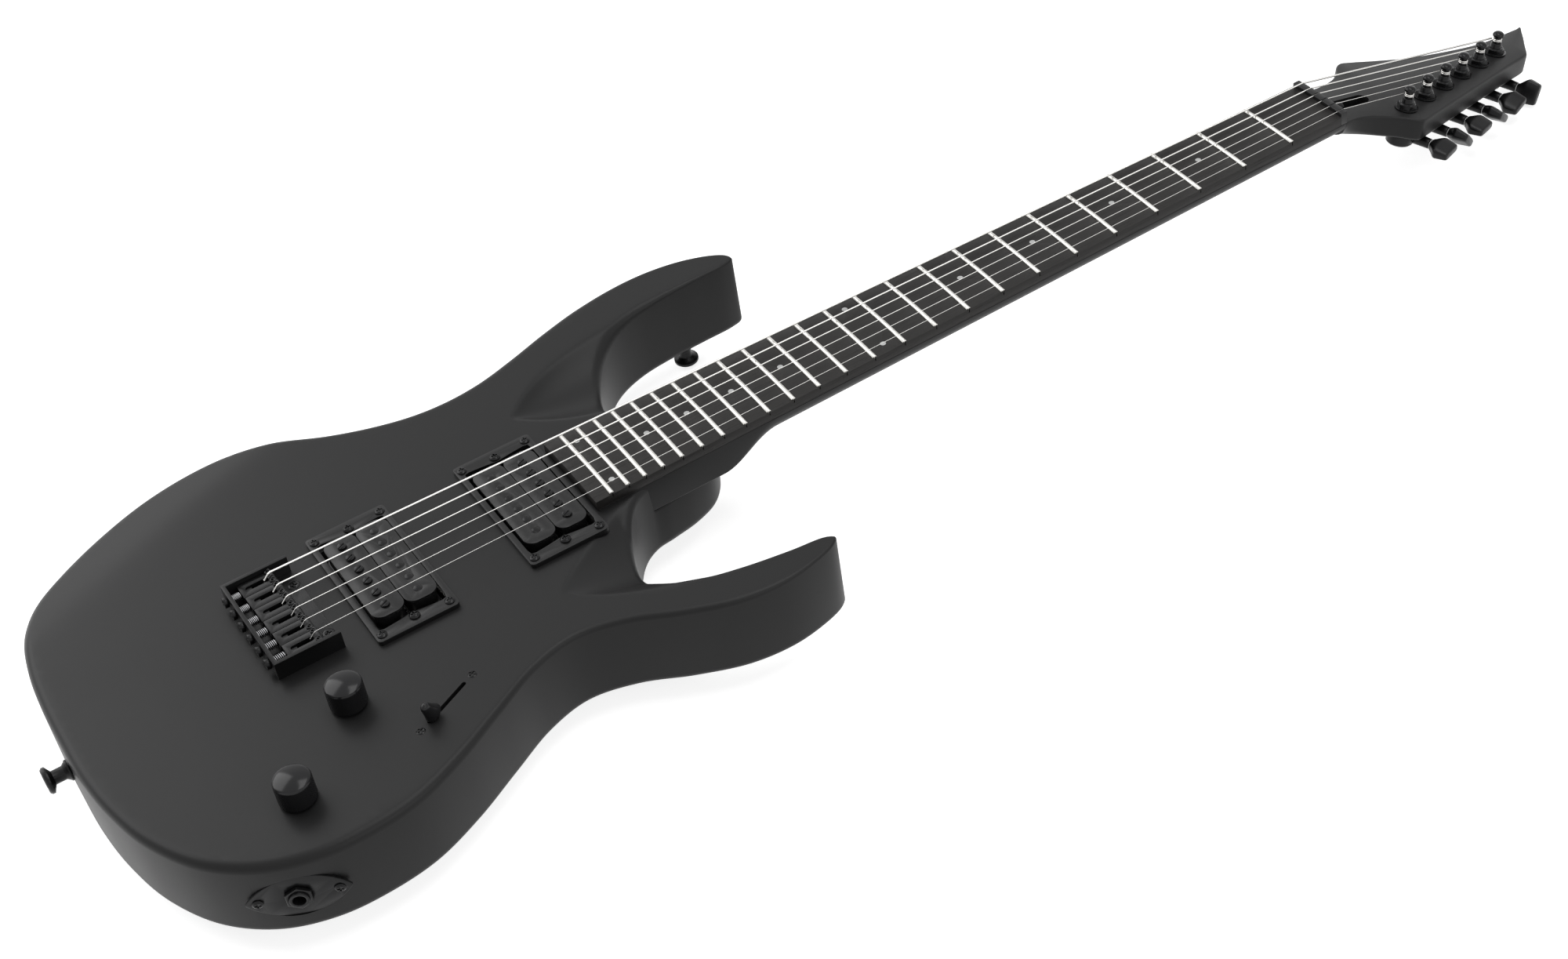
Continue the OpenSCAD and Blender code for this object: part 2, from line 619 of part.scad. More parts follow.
module neck_ring() pickup_ring(neck_pickup_x);
module ring_screws() color(dark_metal) each_ring_screw() cross_screw(2.6, 1.1, 1.2, 18);

module pole_places(pitch) for (k = [0:5]) translate([0, (k - 2.5) * pitch, 0]) children();
function base_level(top) = top - bobbin_depth - 4.6;
module bobbin(pitch, hole_r) {
    difference() {
        union() {
            rounded_plate(bobbin_x, bobbin_y, flange, 6);
            rounded_plate(core_x, core_y, bobbin_depth, 3);
            translate([0, 0, bobbin_depth - flange]) rounded_plate(bobbin_x, bobbin_y, flange, 6);
        }
        translate([0, 0, -1]) pole_places(pitch) cylinder(h = bobbin_depth + 2, r = hole_r + fit / 2);
    }
}
module winding() translate([0, 0, flange + fit]) difference() {
    rounded_plate(bobbin_x - 1.6, bobbin_y - 1.6, bobbin_depth - 2 * (flange + fit), 5.6);
    translate([0, 0, -1]) rounded_plate(core_x + fit, core_y + fit, bobbin_depth, 3);
}
// side is +1 where the screw row faces the headstock and -1 where it faces the tail
module coils(x, top, neck_end, side) translate([x, 0, top - bobbin_depth]) {
    color(black) translate([side * row_half, 0, 0]) bobbin(pole_pitch(neck_end), 1.55);
    color(black) translate([-side * row_half, 0, 0]) bobbin(pole_pitch(neck_end), slug_r);
    color(copper) for (a = [-1, 1]) translate([a * row_half, 0, 0]) winding();
}
module bridge_coils() coils(bridge_pickup_x, bridge_bobbin_top, false, -1);
module neck_coils() coils(neck_pickup_x, neck_bobbin_top, true, 1);

module poles(x, top, neck_end, side) translate([x, 0, top]) {
    translate([side * row_half, 0, 0]) pole_places(pole_pitch(neck_end)) difference() {
        union() {
            translate([0, 0, fit / 2]) cylinder(h = 0.9, r = 2.4);
            translate([0, 0, -18]) cylinder(h = 18.2, r = 1.55);
        }
        translate([0, 0, 1]) rotate([0, 0, 30]) cube([6, 0.7, 1], center = true);
    }
    translate([-side * row_half, 0, -bobbin_depth - 3]) pole_places(pole_pitch(neck_end))
        cylinder(h = bobbin_depth + 3.1, r = slug_r);
}
module pickup_poles() color(nickel) {
    poles(bridge_pickup_x, bridge_bobbin_top, false, -1);
    poles(neck_pickup_x, neck_bobbin_top, true, 1);
}

module pickup_base(x, top, neck_end, side) translate([x, 0, base_level(top)]) {
    difference() {
        union() {
            translate([0, 0, 0]) rounded_plate(37.4, 68.6, 1.2, 1.5);
            both_y() {
                box([-5, 33.1, -7], [5, 34.3, 0.6]);
                box([-5, 33.1, -8.2], [5, 43, -7]);
            }
        }
        translate([side * row_half, 0, -1]) pole_places(pole_pitch(neck_end)) cylinder(h = 4, r = 1.55 + fit);
        for (b = [-1, 1]) translate([0, b * height_screw_y, -9]) cylinder(h = 4, r = 1.5 + running);
    }
    // Bar magnet between the rows, and the strips that back the bobbins up
    color(dark_metal) box([-5.9, -31, 1.3], [5.9, 31, 4.5]);
    for (a = [-1, 1]) box([a > 0 ? 13 : -17.4, -30, 1.3], [a > 0 ? 17.4 : -13, 30, 4.5]);
}
module pickup_bases() color(nickel) {
    pickup_base(bridge_pickup_x, bridge_bobbin_top, false, -1);
    pickup_base(neck_pickup_x, neck_bobbin_top, true, 1);
}
module height_screws() color(dark_metal) each_height_screw() cross_screw(2.8, 1.6, 1.5, 22);
module height_springs() color(nickel) {
    for (q = [[bridge_pickup_x, bridge_bobbin_top], [neck_pickup_x, neck_bobbin_top]], b = [-1, 1])
        translate([q.x, b * height_screw_y, base_level(q.y) - 6.9])
            coil(2.25, 0.4, 6.8 - base_level(q.y), 5);
}

// --- Bridge ---

module bridge_plate() color(dark_metal) difference() {
    union() {
        box([bridge_back, -bridge_half, 0], [bridge_front, bridge_half, bridge_base]);
        box([bridge_back, -bridge_half, 0], [bridge_back + wall, bridge_half, bridge_wall]);
        both_y() box([bridge_back, bridge_half - wall, 0], [bridge_front, bridge_half, bridge_wall]);
    }
    for (i = [0:5]) {
        translate([0, string_y(i, 0), screw_level]) along_x(bridge_back - 1, bridge_back + wall + 1,
            intonation_screw / 2 + running);
        translate([break_x(i) - rise_back, string_y(i, 0), -1]) cylinder(h = 10, r = 1.6);
    }
    each_bridge_screw() {
        translate([0, 0, -8]) cylinder(h = 10, r = bridge_screw_r + 0.2);
        translate([0, 0, -bridge_screw_head]) cylinder(h = bridge_screw_head + fit,
            r1 = bridge_screw_r + 0.1 + 2 * fit, r2 = bridge_screw_head_r + 3 * fit);
    }
}
module bridge_screws() color(dark_metal) each_bridge_screw()
    flat_screw(bridge_screw_head_r, bridge_screw_head, bridge_screw_r, 20);

module saddle(i) color(dark_metal) at_saddle(i) difference() {
    w = saddle_width / 2;
    front = saddle_rear + saddle_length;
    translate([0, w, 0]) rotate([90, 0, 0]) linear_extrude(saddle_width) polygon([
        [saddle_rear, saddle_foot], [front, saddle_foot], [front, saddle_top - 1.2],
        [front - 0.5, saddle_top - 0.3], [0.3, saddle_top], [-0.6, saddle_top - 0.2],
        [-2.4, saddle_top - 1.7], [-3, saddle_top - 1.8], [saddle_rear, saddle_top - 2]]);
    translate([-8.4, 0, 0]) {
        cube([9.2, 3.2, 60], center = true);
        for (a = [-1, 1]) translate([a * 4.6, 0, 0]) cylinder(h = 30, r = 1.6);
    }
    translate([0, 0, screw_level]) along_x(saddle_rear - 1, -10, intonation_screw / 2 + running);
    for (a = [-1, 1]) translate([-1.1, a * foot_y, 0]) cylinder(h = 30, r = 1.25 + running);
}
module saddle_feet(i) color(black) at_saddle(i) for (a = [-1, 1])
    translate([-1.1, a * foot_y, bridge_base + play])
    difference() {
        cylinder(h = saddle_top - bridge_base - play - 0.4, r = 1.25);
        translate([0, 0, saddle_top - bridge_base - play - 2.4]) cylinder(h = 4, r = 0.7, $fn = 6);
    }
module saddle_with_feet(i) {
    saddle(i);
    saddle_feet(i);
}

module intonation_screw_at(i) color(dark_metal) translate([0, string_y(i, 0), screw_level]) {
    tip = break_x(i) + saddle_rear + 6;
    difference() {
        union() {
            along_x(bridge_back - play - 2.2, bridge_back - play, 2.8);
            along_x(bridge_back - play - 0.1, tip, intonation_screw / 2);
        }
        for (a = [0, 90]) rotate([a, 0, 0]) translate([bridge_back - play - 2.2, 0, 0])
            cube([2, 3.4, 0.7], center = true);
    }
}
module saddle_springs() color(nickel) for (i = [0:5])
    translate([bridge_back + wall + fit, string_y(i, 0), screw_level]) rotate([0, 90, 0])
        coil(intonation_screw / 2 + 0.5, 0.3,
             break_x(i) + saddle_rear - bridge_back - wall - 2 * fit, 6);

// --- Strings ---

post_waist = 1.9;
winding_r = post_waist + 0.8;
winding_level = 8.4;
function head_point(s, t, h) = [
    head_s + s * cos(head_angle) + h * sin(head_angle), t,
    head_top - s * sin(head_angle) + h * cos(head_angle)];
// Where string i leaves for its post: beside the winding, on the bass side
function post_exit(i) = let (p = post_st(5 - i))
    head_point(p.x - 1.5, p.y + winding_r + string_r(i) + play, winding_level);
module string_line(i) {
    x0 = break_x(i) - rise_back;
    y0 = string_y(i, 0);
    r = string_r(i);
    run([
        [x0, y0, -body_thickness + 3], [x0, y0, string_height - 3.2],
        [break_x(i) - 1.5, y0, string_height - 0.5], [break_x(i), y0, string_z(i, break_x(i))],
        [nut_end - 0.6, string_y(i, nut_end - 0.6), string_z(i, nut_end)], post_exit(i)
    ], r);
    translate([x0, y0, -body_thickness + 1.3]) cylinder(h = 3, r = 1.9);
}
module strings() color(nickel) for (i = [0:5]) string_line(i);
module string_ferrules() color(dark_metal) each_string_hole() difference() {
    cylinder(h = 8, r = 3.5);
    translate([0, 0, -1]) cylinder(h = 6, r = 2);
    cylinder(h = 12, r = 0.9);
}

// --- Jack and strap buttons ---

module jack_outline(h, grow) linear_extrude(h) intersection() {
    translate([17.6, 0]) circle(30.4 + grow, $fn = 120);
    translate([-17.6, 0]) circle(30.4 + grow, $fn = 120);
    square([25.6 + 2 * grow, 60], center = true);
}
module jack_plate() color(black) at_jack() difference() {
    translate([0, 0, -1.4]) jack_outline(1.6, 0);
    translate([0, 0, -3]) cylinder(h = 6, r = 4.7 + fit);
    for (a = [-1, 1]) translate([0, a * 19, -3]) cylinder(h = 6, r = 1.3 + 0.2);
}
module jack_socket() color(dark_metal) at_jack() {
    difference() {
        union() {
            translate([0, 0, -1.5 - 12]) cylinder(h = 12, r = 7);
            translate([0, 0, -2]) cylinder(h = 5.4, r = 4.7);
            translate([0, 0, -1.5 - 20]) rotate([0, 0, 0]) rounded_plate(5, 2, 9, 0.9);
        }
        translate([0, 0, -12]) cylinder(h = 20, r = jack_bore / 2);
    }
    difference() {
        translate([0, 0, 0.3]) cylinder(h = 2, r = 7, $fn = 6);
        cylinder(h = 5, r = 4.7 + fit);
    }
}

module strap_button() {
    difference() {
        union() {
            cylinder(h = 1.2, r = 5.5);
            cylinder(h = 9, r = 3.6);
            translate([0, 0, 1.1]) cylinder(h = 2, r1 = 5.2, r2 = 3.6);
            translate([0, 0, 8.6]) cylinder(h = 2, r1 = 3.6, r2 = 7);
            translate([0, 0, 10.5]) cylinder(h = 1.5, r = 7);
            translate([0, 0, 12]) cylinder(h = 1, r1 = 7, r2 = 6);
        }
        translate([0, 0, -1]) cylinder(h = 20, r = 1.9 + fit);
        translate([0, 0, 11.2]) cylinder(h = 3, r1 = 1.9 + fit, r2 = 4.4);
    }
    difference() {
        union() {
            translate([0, 0, -24]) cylinder(h = 35.6, r = 1.9);
            translate([0, 0, 11.5]) cylinder(h = 1.3, r1 = 2, r2 = 3.9);
        }
        for (a = [0, 90]) rotate([0, 0, a]) translate([0, 0, 12.6]) cube([4.4, 1, 1.6], center = true);
    }
}
module strap_buttons() color(black) {
    translate(tail_button) rotate([0, -90, 0]) strap_button();
    translate(horn_button) rotate([180, 0, 0]) strap_button();
}

// --- Controls ---

module knob(p) color(dark_metal) translate([p.x, p.y, 0]) {
    r = knob_diameter / 2;
    difference() {
        union() {
            translate([0, 0, 1.2]) cylinder(h = 1.2, r1 = r - 1.4, r2 = r);
            translate([0, 0, 2.4]) cylinder(h = knob_height - 4.6, r = r);
            intersection() {
                translate([0, 0, knob_height - 26]) sphere(26, $fn = 96);
                translate([0, 0, knob_height - 2.3]) cylinder(h = 4, r = r);
            }
        }
        translate([0, 0, 1]) cylinder(h = 2.8, r = 7);
        translate([0, 0, 1]) cylinder(h = knob_height - 5, r = pot_shaft / 2);
    }
    translate([0, 0, -10]) cylinder(h = knob_height + 5.9, r = pot_shaft / 2);
}
module volume_knob() knob(volume_at);
module tone_knob() knob(tone_at);
module pots() for (p = [volume_at, tone_at]) translate([p.x, p.y, 0]) {
    color(nickel) difference() {
        union() {
            translate([0, 0, cavity_floor - 9.5]) cylinder(h = 9.4, r = 8.2);
            translate([0, 0, cavity_floor - 1]) cylinder(h = face_wood + 4, r = 4);
            translate([-6.5, 6, cavity_floor - 5.4]) cube([13, 7.5, 1.2]);
        }
        translate([0, 0, cavity_floor - 5]) cylinder(h = 40, r = pot_shaft / 2 + running);
    }
    color(nickel) difference() {
        translate([0, 0, 0.1]) cylinder(h = 2.4, r = 6, $fn = 6);
        cylinder(h = 6, r = 4 + fit);
    }
}

module switch_body() at_switch() {
    color(nickel) difference() {
        translate([-24, -5.5, cavity_floor - 1.7]) cube([48, 11, 1.6]);
        translate([0, 0, cavity_floor - 1]) cube([2 * slot_half, 3, 6], center = true);
        for (a = [-1, 1]) translate([a * switch_screw_half, 0, -14]) cylinder(h = 10, r = 1.5 + running);
    }
    color(black) difference() {
        translate([-19, -5.5, cavity_floor - 22]) cube([38, 3.4, 20.2]);
        translate([0, 0, -lever_pivot]) rotate([90, 0, 0]) cylinder(h = 30, r = 1.2, center = true);
    }
    color(nickel) translate([0, 1.8, -lever_pivot]) rotate([90, 0, 0]) cylinder(h = 7.2, r = 1.1);
}
tip_start = 20.8;
tip_end = 32.6;
module switch_lever() at_switch() translate([0, 0, -lever_pivot]) rotate([0, -lever_angle, 0]) {
    color(nickel) difference() {
        union() {
            translate([-2.6, -0.7, 0]) cube([5.2, 1.4, 26]);
            rotate([90, 0, 0]) cylinder(h = 1.4, r = 4.4, center = true);
        }
        rotate([90, 0, 0]) cylinder(h = 4, r = 1.1 + running, center = true);
    }
    color(black) difference() {
        hull() {
            translate([0, 0, tip_start]) scale([1, 0.7, 1]) cylinder(h = 0.6, r = 4.9, $fn = 32);
            translate([0, 0, tip_end - 2.4]) sphere(2.4, $fn = 24);
        }
        translate([-2.7, -0.8, 0]) cube([5.4, 1.6, 26.1]);
    }
}

wire_r = 0.9;
lug_level = cavity_floor - 5.4 - wire_r - fit;
module wiring() color(black) {
    // Each pickup's lead, through the channels to the volume lugs and the switch
    run([[bridge_pickup_x - 10, -20, base_level(bridge_bobbin_top) - wire_r - fit],
        [bridge_pickup_x - 11, -28, -15.6], [-5, -60.4, -23], [-5, -58.4, lug_level]], wire_r);
    run([[neck_pickup_x - 14, 2, base_level(neck_bobbin_top) - wire_r - fit],
        [neck_pickup_x - 18, 0.4, -17.6], [bridge_pickup_x + 22, 0.4, -17.6],
        [bridge_pickup_x + 2, -20, -18.5], [bridge_pickup_x - 7.2, -29, -17.4],
        [-6, -63.6, -25], [2, -76, -26], [20.46, -105.4, -24]], wire_r);
    // Ground from the bridge, the lead between the lugs, and the lead to the jack
    run([[-16, -24.6, -1.6], [-14.4, -58, -18.4], [-14, -68, -22], [-12, -70.5, -16.6]], 0.6);
    run([[-10.4, -58.6, lug_level], [-15, -64, -19], [-26, -84, -19.5], [-44, -98, -18],
        [-48.5, -98.6, lug_level]], wire_r);
    run([[-54.5, -98.6, lug_level], [-57, -106, -19], [-61.9, -118.2, jack_level]], wire_r);
}

// --- Tuning machines ---

module tuner_housing(i) at_tuner(i) {
    r = housing_diameter / 2;
    bottom = -head_thickness - housing_depth;
    color(dark_metal) difference() {
        union() {
            translate([0, 0, bottom + 1]) cylinder(h = housing_depth - 1 - fit, r = r);
            translate([0, 0, bottom]) cylinder(h = 1, r1 = r - 1, r2 = r);
            translate([0, worm_offset, shaft_level]) rotate([0, 90, 0]) cylinder(h = key_start - 0.8 - play, r1 = 3.8, r2 = 3);
            translate([-6, 0, -head_thickness - 1]) cylinder(h = 4, r = 1);
        }
        translate([0, 0, bottom + 1.2]) cylinder(h = housing_depth - 2.4, r = r - 1.2);
        translate([0, 0, -head_thickness - 3]) cylinder(h = 6, r = post_diameter / 2 + running);
        translate([0, worm_offset, shaft_level]) along_x(-4.2, 30, 1.5 + running);
        translate([0, worm_offset, shaft_level]) along_x(-2.7, 2.7, worm_r + 0.2);
    }
}
module tuner_housings() for (i = [0:5]) tuner_housing(i);

module tuner_bushings() color(dark_metal) for (i = [0:5]) at_tuner(i) difference() {
    union() {
        translate([0, 0, -10]) cylinder(h = 12, r = bush_r);
        translate([0, 0, fit / 2]) cylinder(h = 0.9, r = 6.9);
        translate([0, 0, 0.9]) rotate([0, 0, 15]) cylinder(h = 2.4, r = 5.8, $fn = 6);
        translate([0, 0, 3.2]) cylinder(h = 0.8, r1 = 4.9, r2 = 4.4);
    }
    translate([0, 0, -20]) cylinder(h = 40, r = post_diameter / 2 + running);
}

module tuner_post(i) at_tuner(i) {
    r = post_diameter / 2;
    color(dark_metal) difference() {
        union() {
            translate([0, 0, -head_thickness - 2]) cylinder(h = head_thickness + 2 + 7, r = r);
            translate([0, 0, 6.9]) cylinder(h = 4, r = post_waist);
            translate([0, 0, -head_thickness - 7]) cylinder(h = 5.1, r = 1.6);
            translate([0, 0, -head_thickness - 6.8]) toothed_wheel();
        }
    }
    // Locking cap with its domed head
    color(black) translate([0, 0, 10.95]) rotate_extrude() polygon([
        [0, 0], [3, 0], [3.5, 0.5], [3.5, 1.5], [2.7, 2.7], [1.4, post_height - 11.1],
        [0, post_height - 10.95]]);
    // Last turns of the string, clamped on the waist
    color(nickel) for (k = [0:1]) translate([0, 0, winding_level - 0.5 + 1.1 * k]) rotate_extrude($fn = 48)
        translate([post_waist + 0.45, 0]) circle(0.4, $fn = 16);
}
module toothed_wheel() difference() {
    cylinder(h = 3.4, r = 3);
    for (a = [0:30:330]) rotate([0, 0, a]) translate([3.1, 0, -1]) cylinder(h = 6, r = 0.4, $fn = 16);
}

module key_button() {
    half = 7.6;
    // Seen from the face: narrow at the shaft, wide and softly rounded at the far end
    intersection() {
        translate([0, 0, -10]) linear_extrude(20) polygon([
            [0, -3], [1.6, -3.4], [4.5, -6.6], [6.5, -half], [10.5, -half], [key_length - 0.8, -6],
            [key_length, -3.4], [key_length, 3.4], [key_length - 0.8, 6], [10.5, half], [6.5, half],
            [4.5, 6.6], [1.6, 3.4], [0, 3]]);
        rotate([90, 0, 0]) translate([0, 0, -20]) linear_extrude(40) polygon([
            [0, -2.9], [2, -3.6], [9, -3.6], [key_length, -2], [key_length, 2], [9, 3.6], [2, 3.6],
            [0, 2.9]]);
    }
}
module tuner_key(i) at_tuner(i) translate([0, worm_offset, shaft_level]) rotate([key_turns[i], 0, 0]) {
    color(dark_metal) {
        along_x(-3.6, key_start + 5, 1.5);
        along_x(-2.4, 2.4, worm_r);
    }
    color(nickel) along_x(key_start - 0.8, key_start + 0.1, 2.8);
    color(dark_metal) translate([key_start, 0, 0]) key_button();
}

place() body();
place() neck();
place() fretboard();
place() frets();
place() position_dots();
place() nut();
place() truss_rod();
place() truss_nut();
place() neck_bolts();
place() control_cover();
place() panel_screws();
place() bridge_ring();
place() neck_ring();
place() ring_screws();
place() height_screws();
place() height_springs();
place() bridge_coils();
place() neck_coils();
place() pickup_poles();
place() pickup_bases();
place() bridge_plate();
place() bridge_screws();
place() saddle_springs();
place() strings();
place() string_ferrules();
place() jack_plate();
place() jack_socket();
place() strap_buttons();
place() pots();
place() switch_body();
place() wiring();
place() tuner_housings();
place() tuner_bushings();
place() volume_knob();
place() tone_knob();
place() switch_lever();
for (i = [0:5]) {
    place() saddle_with_feet(i);
    place() intonation_screw_at(i);
    place() tuner_key(i);
    place() tuner_post(i);
}
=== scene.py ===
"""Finishes and shapes for a solid-body electric guitar, built around its packed construction model.

The pieces are laid out in the guitar's own coordinates, in millimetres: x = 0 is the saddle line,
+x runs to the headstock, +y is the bass side and z = 0 is the body's face. at() turns them into
the frame's metres.
"""

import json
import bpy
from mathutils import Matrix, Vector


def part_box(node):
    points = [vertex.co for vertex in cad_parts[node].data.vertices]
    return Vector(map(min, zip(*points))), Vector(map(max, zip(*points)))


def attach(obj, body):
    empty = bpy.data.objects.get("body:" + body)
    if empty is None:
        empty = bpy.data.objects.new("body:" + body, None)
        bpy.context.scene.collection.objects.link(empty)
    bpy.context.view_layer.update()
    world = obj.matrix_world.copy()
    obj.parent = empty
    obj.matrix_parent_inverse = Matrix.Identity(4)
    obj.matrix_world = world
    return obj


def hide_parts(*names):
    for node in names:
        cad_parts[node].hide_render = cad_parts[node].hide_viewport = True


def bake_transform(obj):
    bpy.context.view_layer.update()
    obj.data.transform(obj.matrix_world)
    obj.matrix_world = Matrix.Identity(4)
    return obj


bl_info = {
    "name": "Electric Guitar Finisher",
    "version": (1, 0, 0),
    "blender": (4, 5, 0),
    "location": "3D View > Sidebar > Guitar",
    "description": "Shapes and finishes each piece of a solid-body electric guitar",
    "category": "Object",
}

from math import cos, pi, radians, sin, sqrt, tau

import bmesh
import bpy
import numpy as np
from bpy.props import FloatProperty, FloatVectorProperty, IntProperty, PointerProperty
from bpy.types import Operator
from mathutils import Matrix, Vector
from mathutils.geometry import delaunay_2d_cdt

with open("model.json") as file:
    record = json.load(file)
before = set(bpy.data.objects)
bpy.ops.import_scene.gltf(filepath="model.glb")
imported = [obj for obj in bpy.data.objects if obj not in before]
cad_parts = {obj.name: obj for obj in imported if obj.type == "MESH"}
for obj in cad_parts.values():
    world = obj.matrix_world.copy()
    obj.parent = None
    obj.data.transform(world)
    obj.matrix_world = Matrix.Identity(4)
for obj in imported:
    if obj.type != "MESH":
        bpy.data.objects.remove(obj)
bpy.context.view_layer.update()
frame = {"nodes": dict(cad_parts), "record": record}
MM = 0.001

# --- Places taken from the frame ---

SCALE = 647.7
NUT_LENGTH = 4.6
ORIGIN_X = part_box("fretboard")[1][0] / MM - SCALE
FACE_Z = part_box("body")[1][2] / MM
BODY_DEPTH = 45.0
HEAD_TILT = radians(12.2)
HEAD_FACE = 0.5
NUT_END = SCALE + NUT_LENGTH
BOARD_UNDER = 1.7
BOARD_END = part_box("fretboard")[0][0] / MM - ORIGIN_X
STRINGS = 6
STRING_PITCH = 10.6
KNOB_AT = {"volume_knob": (-7.2, -70.3), "tone_knob": (-51.4, -110.1)}
# Each node's body
BODY_OF = {node: body for body, nodes in frame["record"]["behaviour"]["bodies"].items()
           for node in nodes}


def at(x, y, z):
    """A point in the guitar's millimetres as a point of the frame, in metres."""
    return Vector(((x + ORIGIN_X) * MM, y * MM, (z + FACE_Z) * MM))


shift = Matrix.Translation
TO_FRAME = shift(at(0, 0, 0)) @ Matrix.Scale(MM, 4)
QUARTER = pi / 2


def string_y(i):
    """How far string i lies from the middle, counted from the bass side."""
    return (2.5 - i) * STRING_PITCH


def turn(axis, angle):
    """A turn about one axis, as a matrix."""
    return Matrix.Rotation(angle, 4, axis)


def head_matrix():
    """The headstock's face: x runs from the nut to the tip, z out of the face."""
    return shift((NUT_END, 0, HEAD_FACE)) @ turn("Y", HEAD_TILT)


POST_LINE = radians(17)
POST_PITCH = 21.3
FIRST_POST = (46.8, -20.4)
SHAFT_LEVEL = -18.5
WORM_OFFSET = 5.0
KEY_START = 18.4
KEY_TURNS = (14, -38, 10, -30, 24, 78)


def tuner_matrix(i):
    """Tuning machine i: x runs out along its key, z up its post from the headstock's face."""
    x = FIRST_POST[0] + POST_PITCH * i * cos(POST_LINE)
    y = FIRST_POST[1] + POST_PITCH * i * sin(POST_LINE)
    return head_matrix() @ shift((x, y, 0)) @ turn("Z", POST_LINE - QUARTER)


# --- Settings that a user would change ---


class GuitarFinish(bpy.types.PropertyGroup):
    """Colours of the guitar's finishes."""

    lacquer: FloatVectorProperty(
        name="Lacquer", description="Colour of the body, neck and headstock",
        subtype="COLOR", size=3, default=(0.014, 0.014, 0.0142), min=0, max=1)
    ebony: FloatVectorProperty(
        name="Ebony", description="Colour of the fretboard's wood",
        subtype="COLOR", size=3, default=(0.026, 0.0245, 0.0235), min=0, max=1)
    plastic: FloatVectorProperty(
        name="Plastic", description="Colour of the rings, bobbins and switch tip",
        subtype="COLOR", size=3, default=(0.007, 0.007, 0.0073), min=0, max=1)
    plating: FloatVectorProperty(
        name="Black plating", description="Colour of the plated bridge, tuners and screws",
        subtype="COLOR", size=3, default=(0.008, 0.008, 0.0085), min=0, max=1)
    satin: FloatProperty(
        name="Satin", description="Roughness of the lacquer",
        subtype="FACTOR", default=0.4, min=0.2, max=0.8)


class GuitarShape(bpy.types.PropertyGroup):
    """Sizes of what is carved and rounded."""

    edge_radius: FloatProperty(
        name="Edge radius", description="Rounding of the body's edges, in millimetres",
        default=5.0, min=2, max=10)
    scoop_depth: FloatProperty(
        name="Scoop depth", description="How deep the cutaway scoops reach, in millimetres",
        default=10.5, min=3, max=14)
    knurls: IntProperty(
        name="Knurls", description="Diamonds around each knob", default=56, min=20, max=90)


def finish():
    return bpy.context.scene.guitar_finish


def shape():
    return bpy.context.scene.guitar_shape


# --- Node helpers and shared effects ---


def fill(node, **values):
    """Sets a node's inputs, or its own settings, by name."""
    for key, value in values.items():
        if key in node.inputs:
            node.inputs[key].default_value = value
        else:
            setattr(node, key, value)
    return node


def add(tree, kind, at_x=0, at_y=0, **values):
    """A new shader node of a kind, at its place in the tree, with its values."""
    node = tree.nodes.new("ShaderNode" + kind)
    node.location = (at_x, at_y)
    return fill(node, **values)


def wire(tree, *links):
    """Joins sockets, each pair given as from a node's output to a node's input."""
    for source, output, target, entry in links:
        tree.links.new(source.outputs[output], target.inputs[entry])


def effect_group(name, inputs, outputs):
    """An empty node group and its end nodes; a tuple makes a colour socket, a number a value."""
    tree = bpy.data.node_groups.new(name, "ShaderNodeTree")
    for way, sockets in (("INPUT", inputs), ("OUTPUT", outputs)):
        for label, value in sockets.items():
            kind = "NodeSocketColor" if isinstance(value, tuple) else "NodeSocketFloat"
            tree.interface.new_socket(label, in_out=way, socket_type=kind).default_value = value
    ends = tree.nodes.new("NodeGroupInput"), tree.nodes.new("NodeGroupOutput")
    ends[0].location.x, ends[1].location.x = -900, 600
    return tree, *ends


def mottle_group():
    """Slow unevenness of a sprayed or handled surface, with a fine grain on top."""
    if "surface_mottle" in bpy.data.node_groups:
        return bpy.data.node_groups["surface_mottle"]
    tree, start, end = effect_group(
        "surface_mottle",
        {"Coarse Scale": 18.0, "Fine Scale": 1400.0, "Base Rough": 0.4, "Spread": 0.06},
        {"Roughness": 0.0, "Height": 0.0})
    place = add(tree, "TexCoord", -900, 300)
    coarse = add(tree, "TexNoise", -600, 300, Detail=3.0, Roughness=0.55)
    fine = add(tree, "TexNoise", -600, 0, Detail=2.0, Roughness=0.5)
    centre = add(tree, "Math", -420, 200, operation="SUBTRACT")
    centre.inputs[1].default_value = 0.5
    spread = add(tree, "Math", -300, 200, operation="MULTIPLY_ADD")
    wire(tree, (place, "Object", coarse, "Vector"), (place, "Object", fine, "Vector"),
         (start, "Coarse Scale", coarse, "Scale"), (start, "Fine Scale", fine, "Scale"),
         (coarse, "Fac", centre, 0), (centre, 0, spread, 0), (start, "Spread", spread, 1),
         (start, "Base Rough", spread, 2), (spread, 0, end, "Roughness"),
         (fine, "Fac", end, "Height"))
    return tree


def wear_group():
    """Brightens where handling rubs an edge or a high spot."""
    if "edge_wear" in bpy.data.node_groups:
        return bpy.data.node_groups["edge_wear"]
    tree, start, end = effect_group(
        "edge_wear",
        {"Color": (0.02, 0.02, 0.02, 1), "Worn Color": (0.2, 0.2, 0.2, 1), "Amount": 0.25},
        {"Color": (0.0, 0.0, 0.0, 1.0)})
    geometry = add(tree, "NewGeometry", -900, 300)
    ramp = add(tree, "MapRange", -600, 300, **{"From Min": 0.52, "From Max": 0.62})
    amount = add(tree, "Math", -300, 200, operation="MULTIPLY")
    mix = add(tree, "Mix", 0, 200, data_type="RGBA")
    wire(tree, (geometry, "Pointiness", ramp, "Value"), (ramp, "Result", amount, 0),
         (start, "Amount", amount, 1), (amount, 0, mix, "Factor"), (start, "Color", mix, 6),
         (start, "Worn Color", mix, 7), (mix, 2, end, "Color"))
    return tree


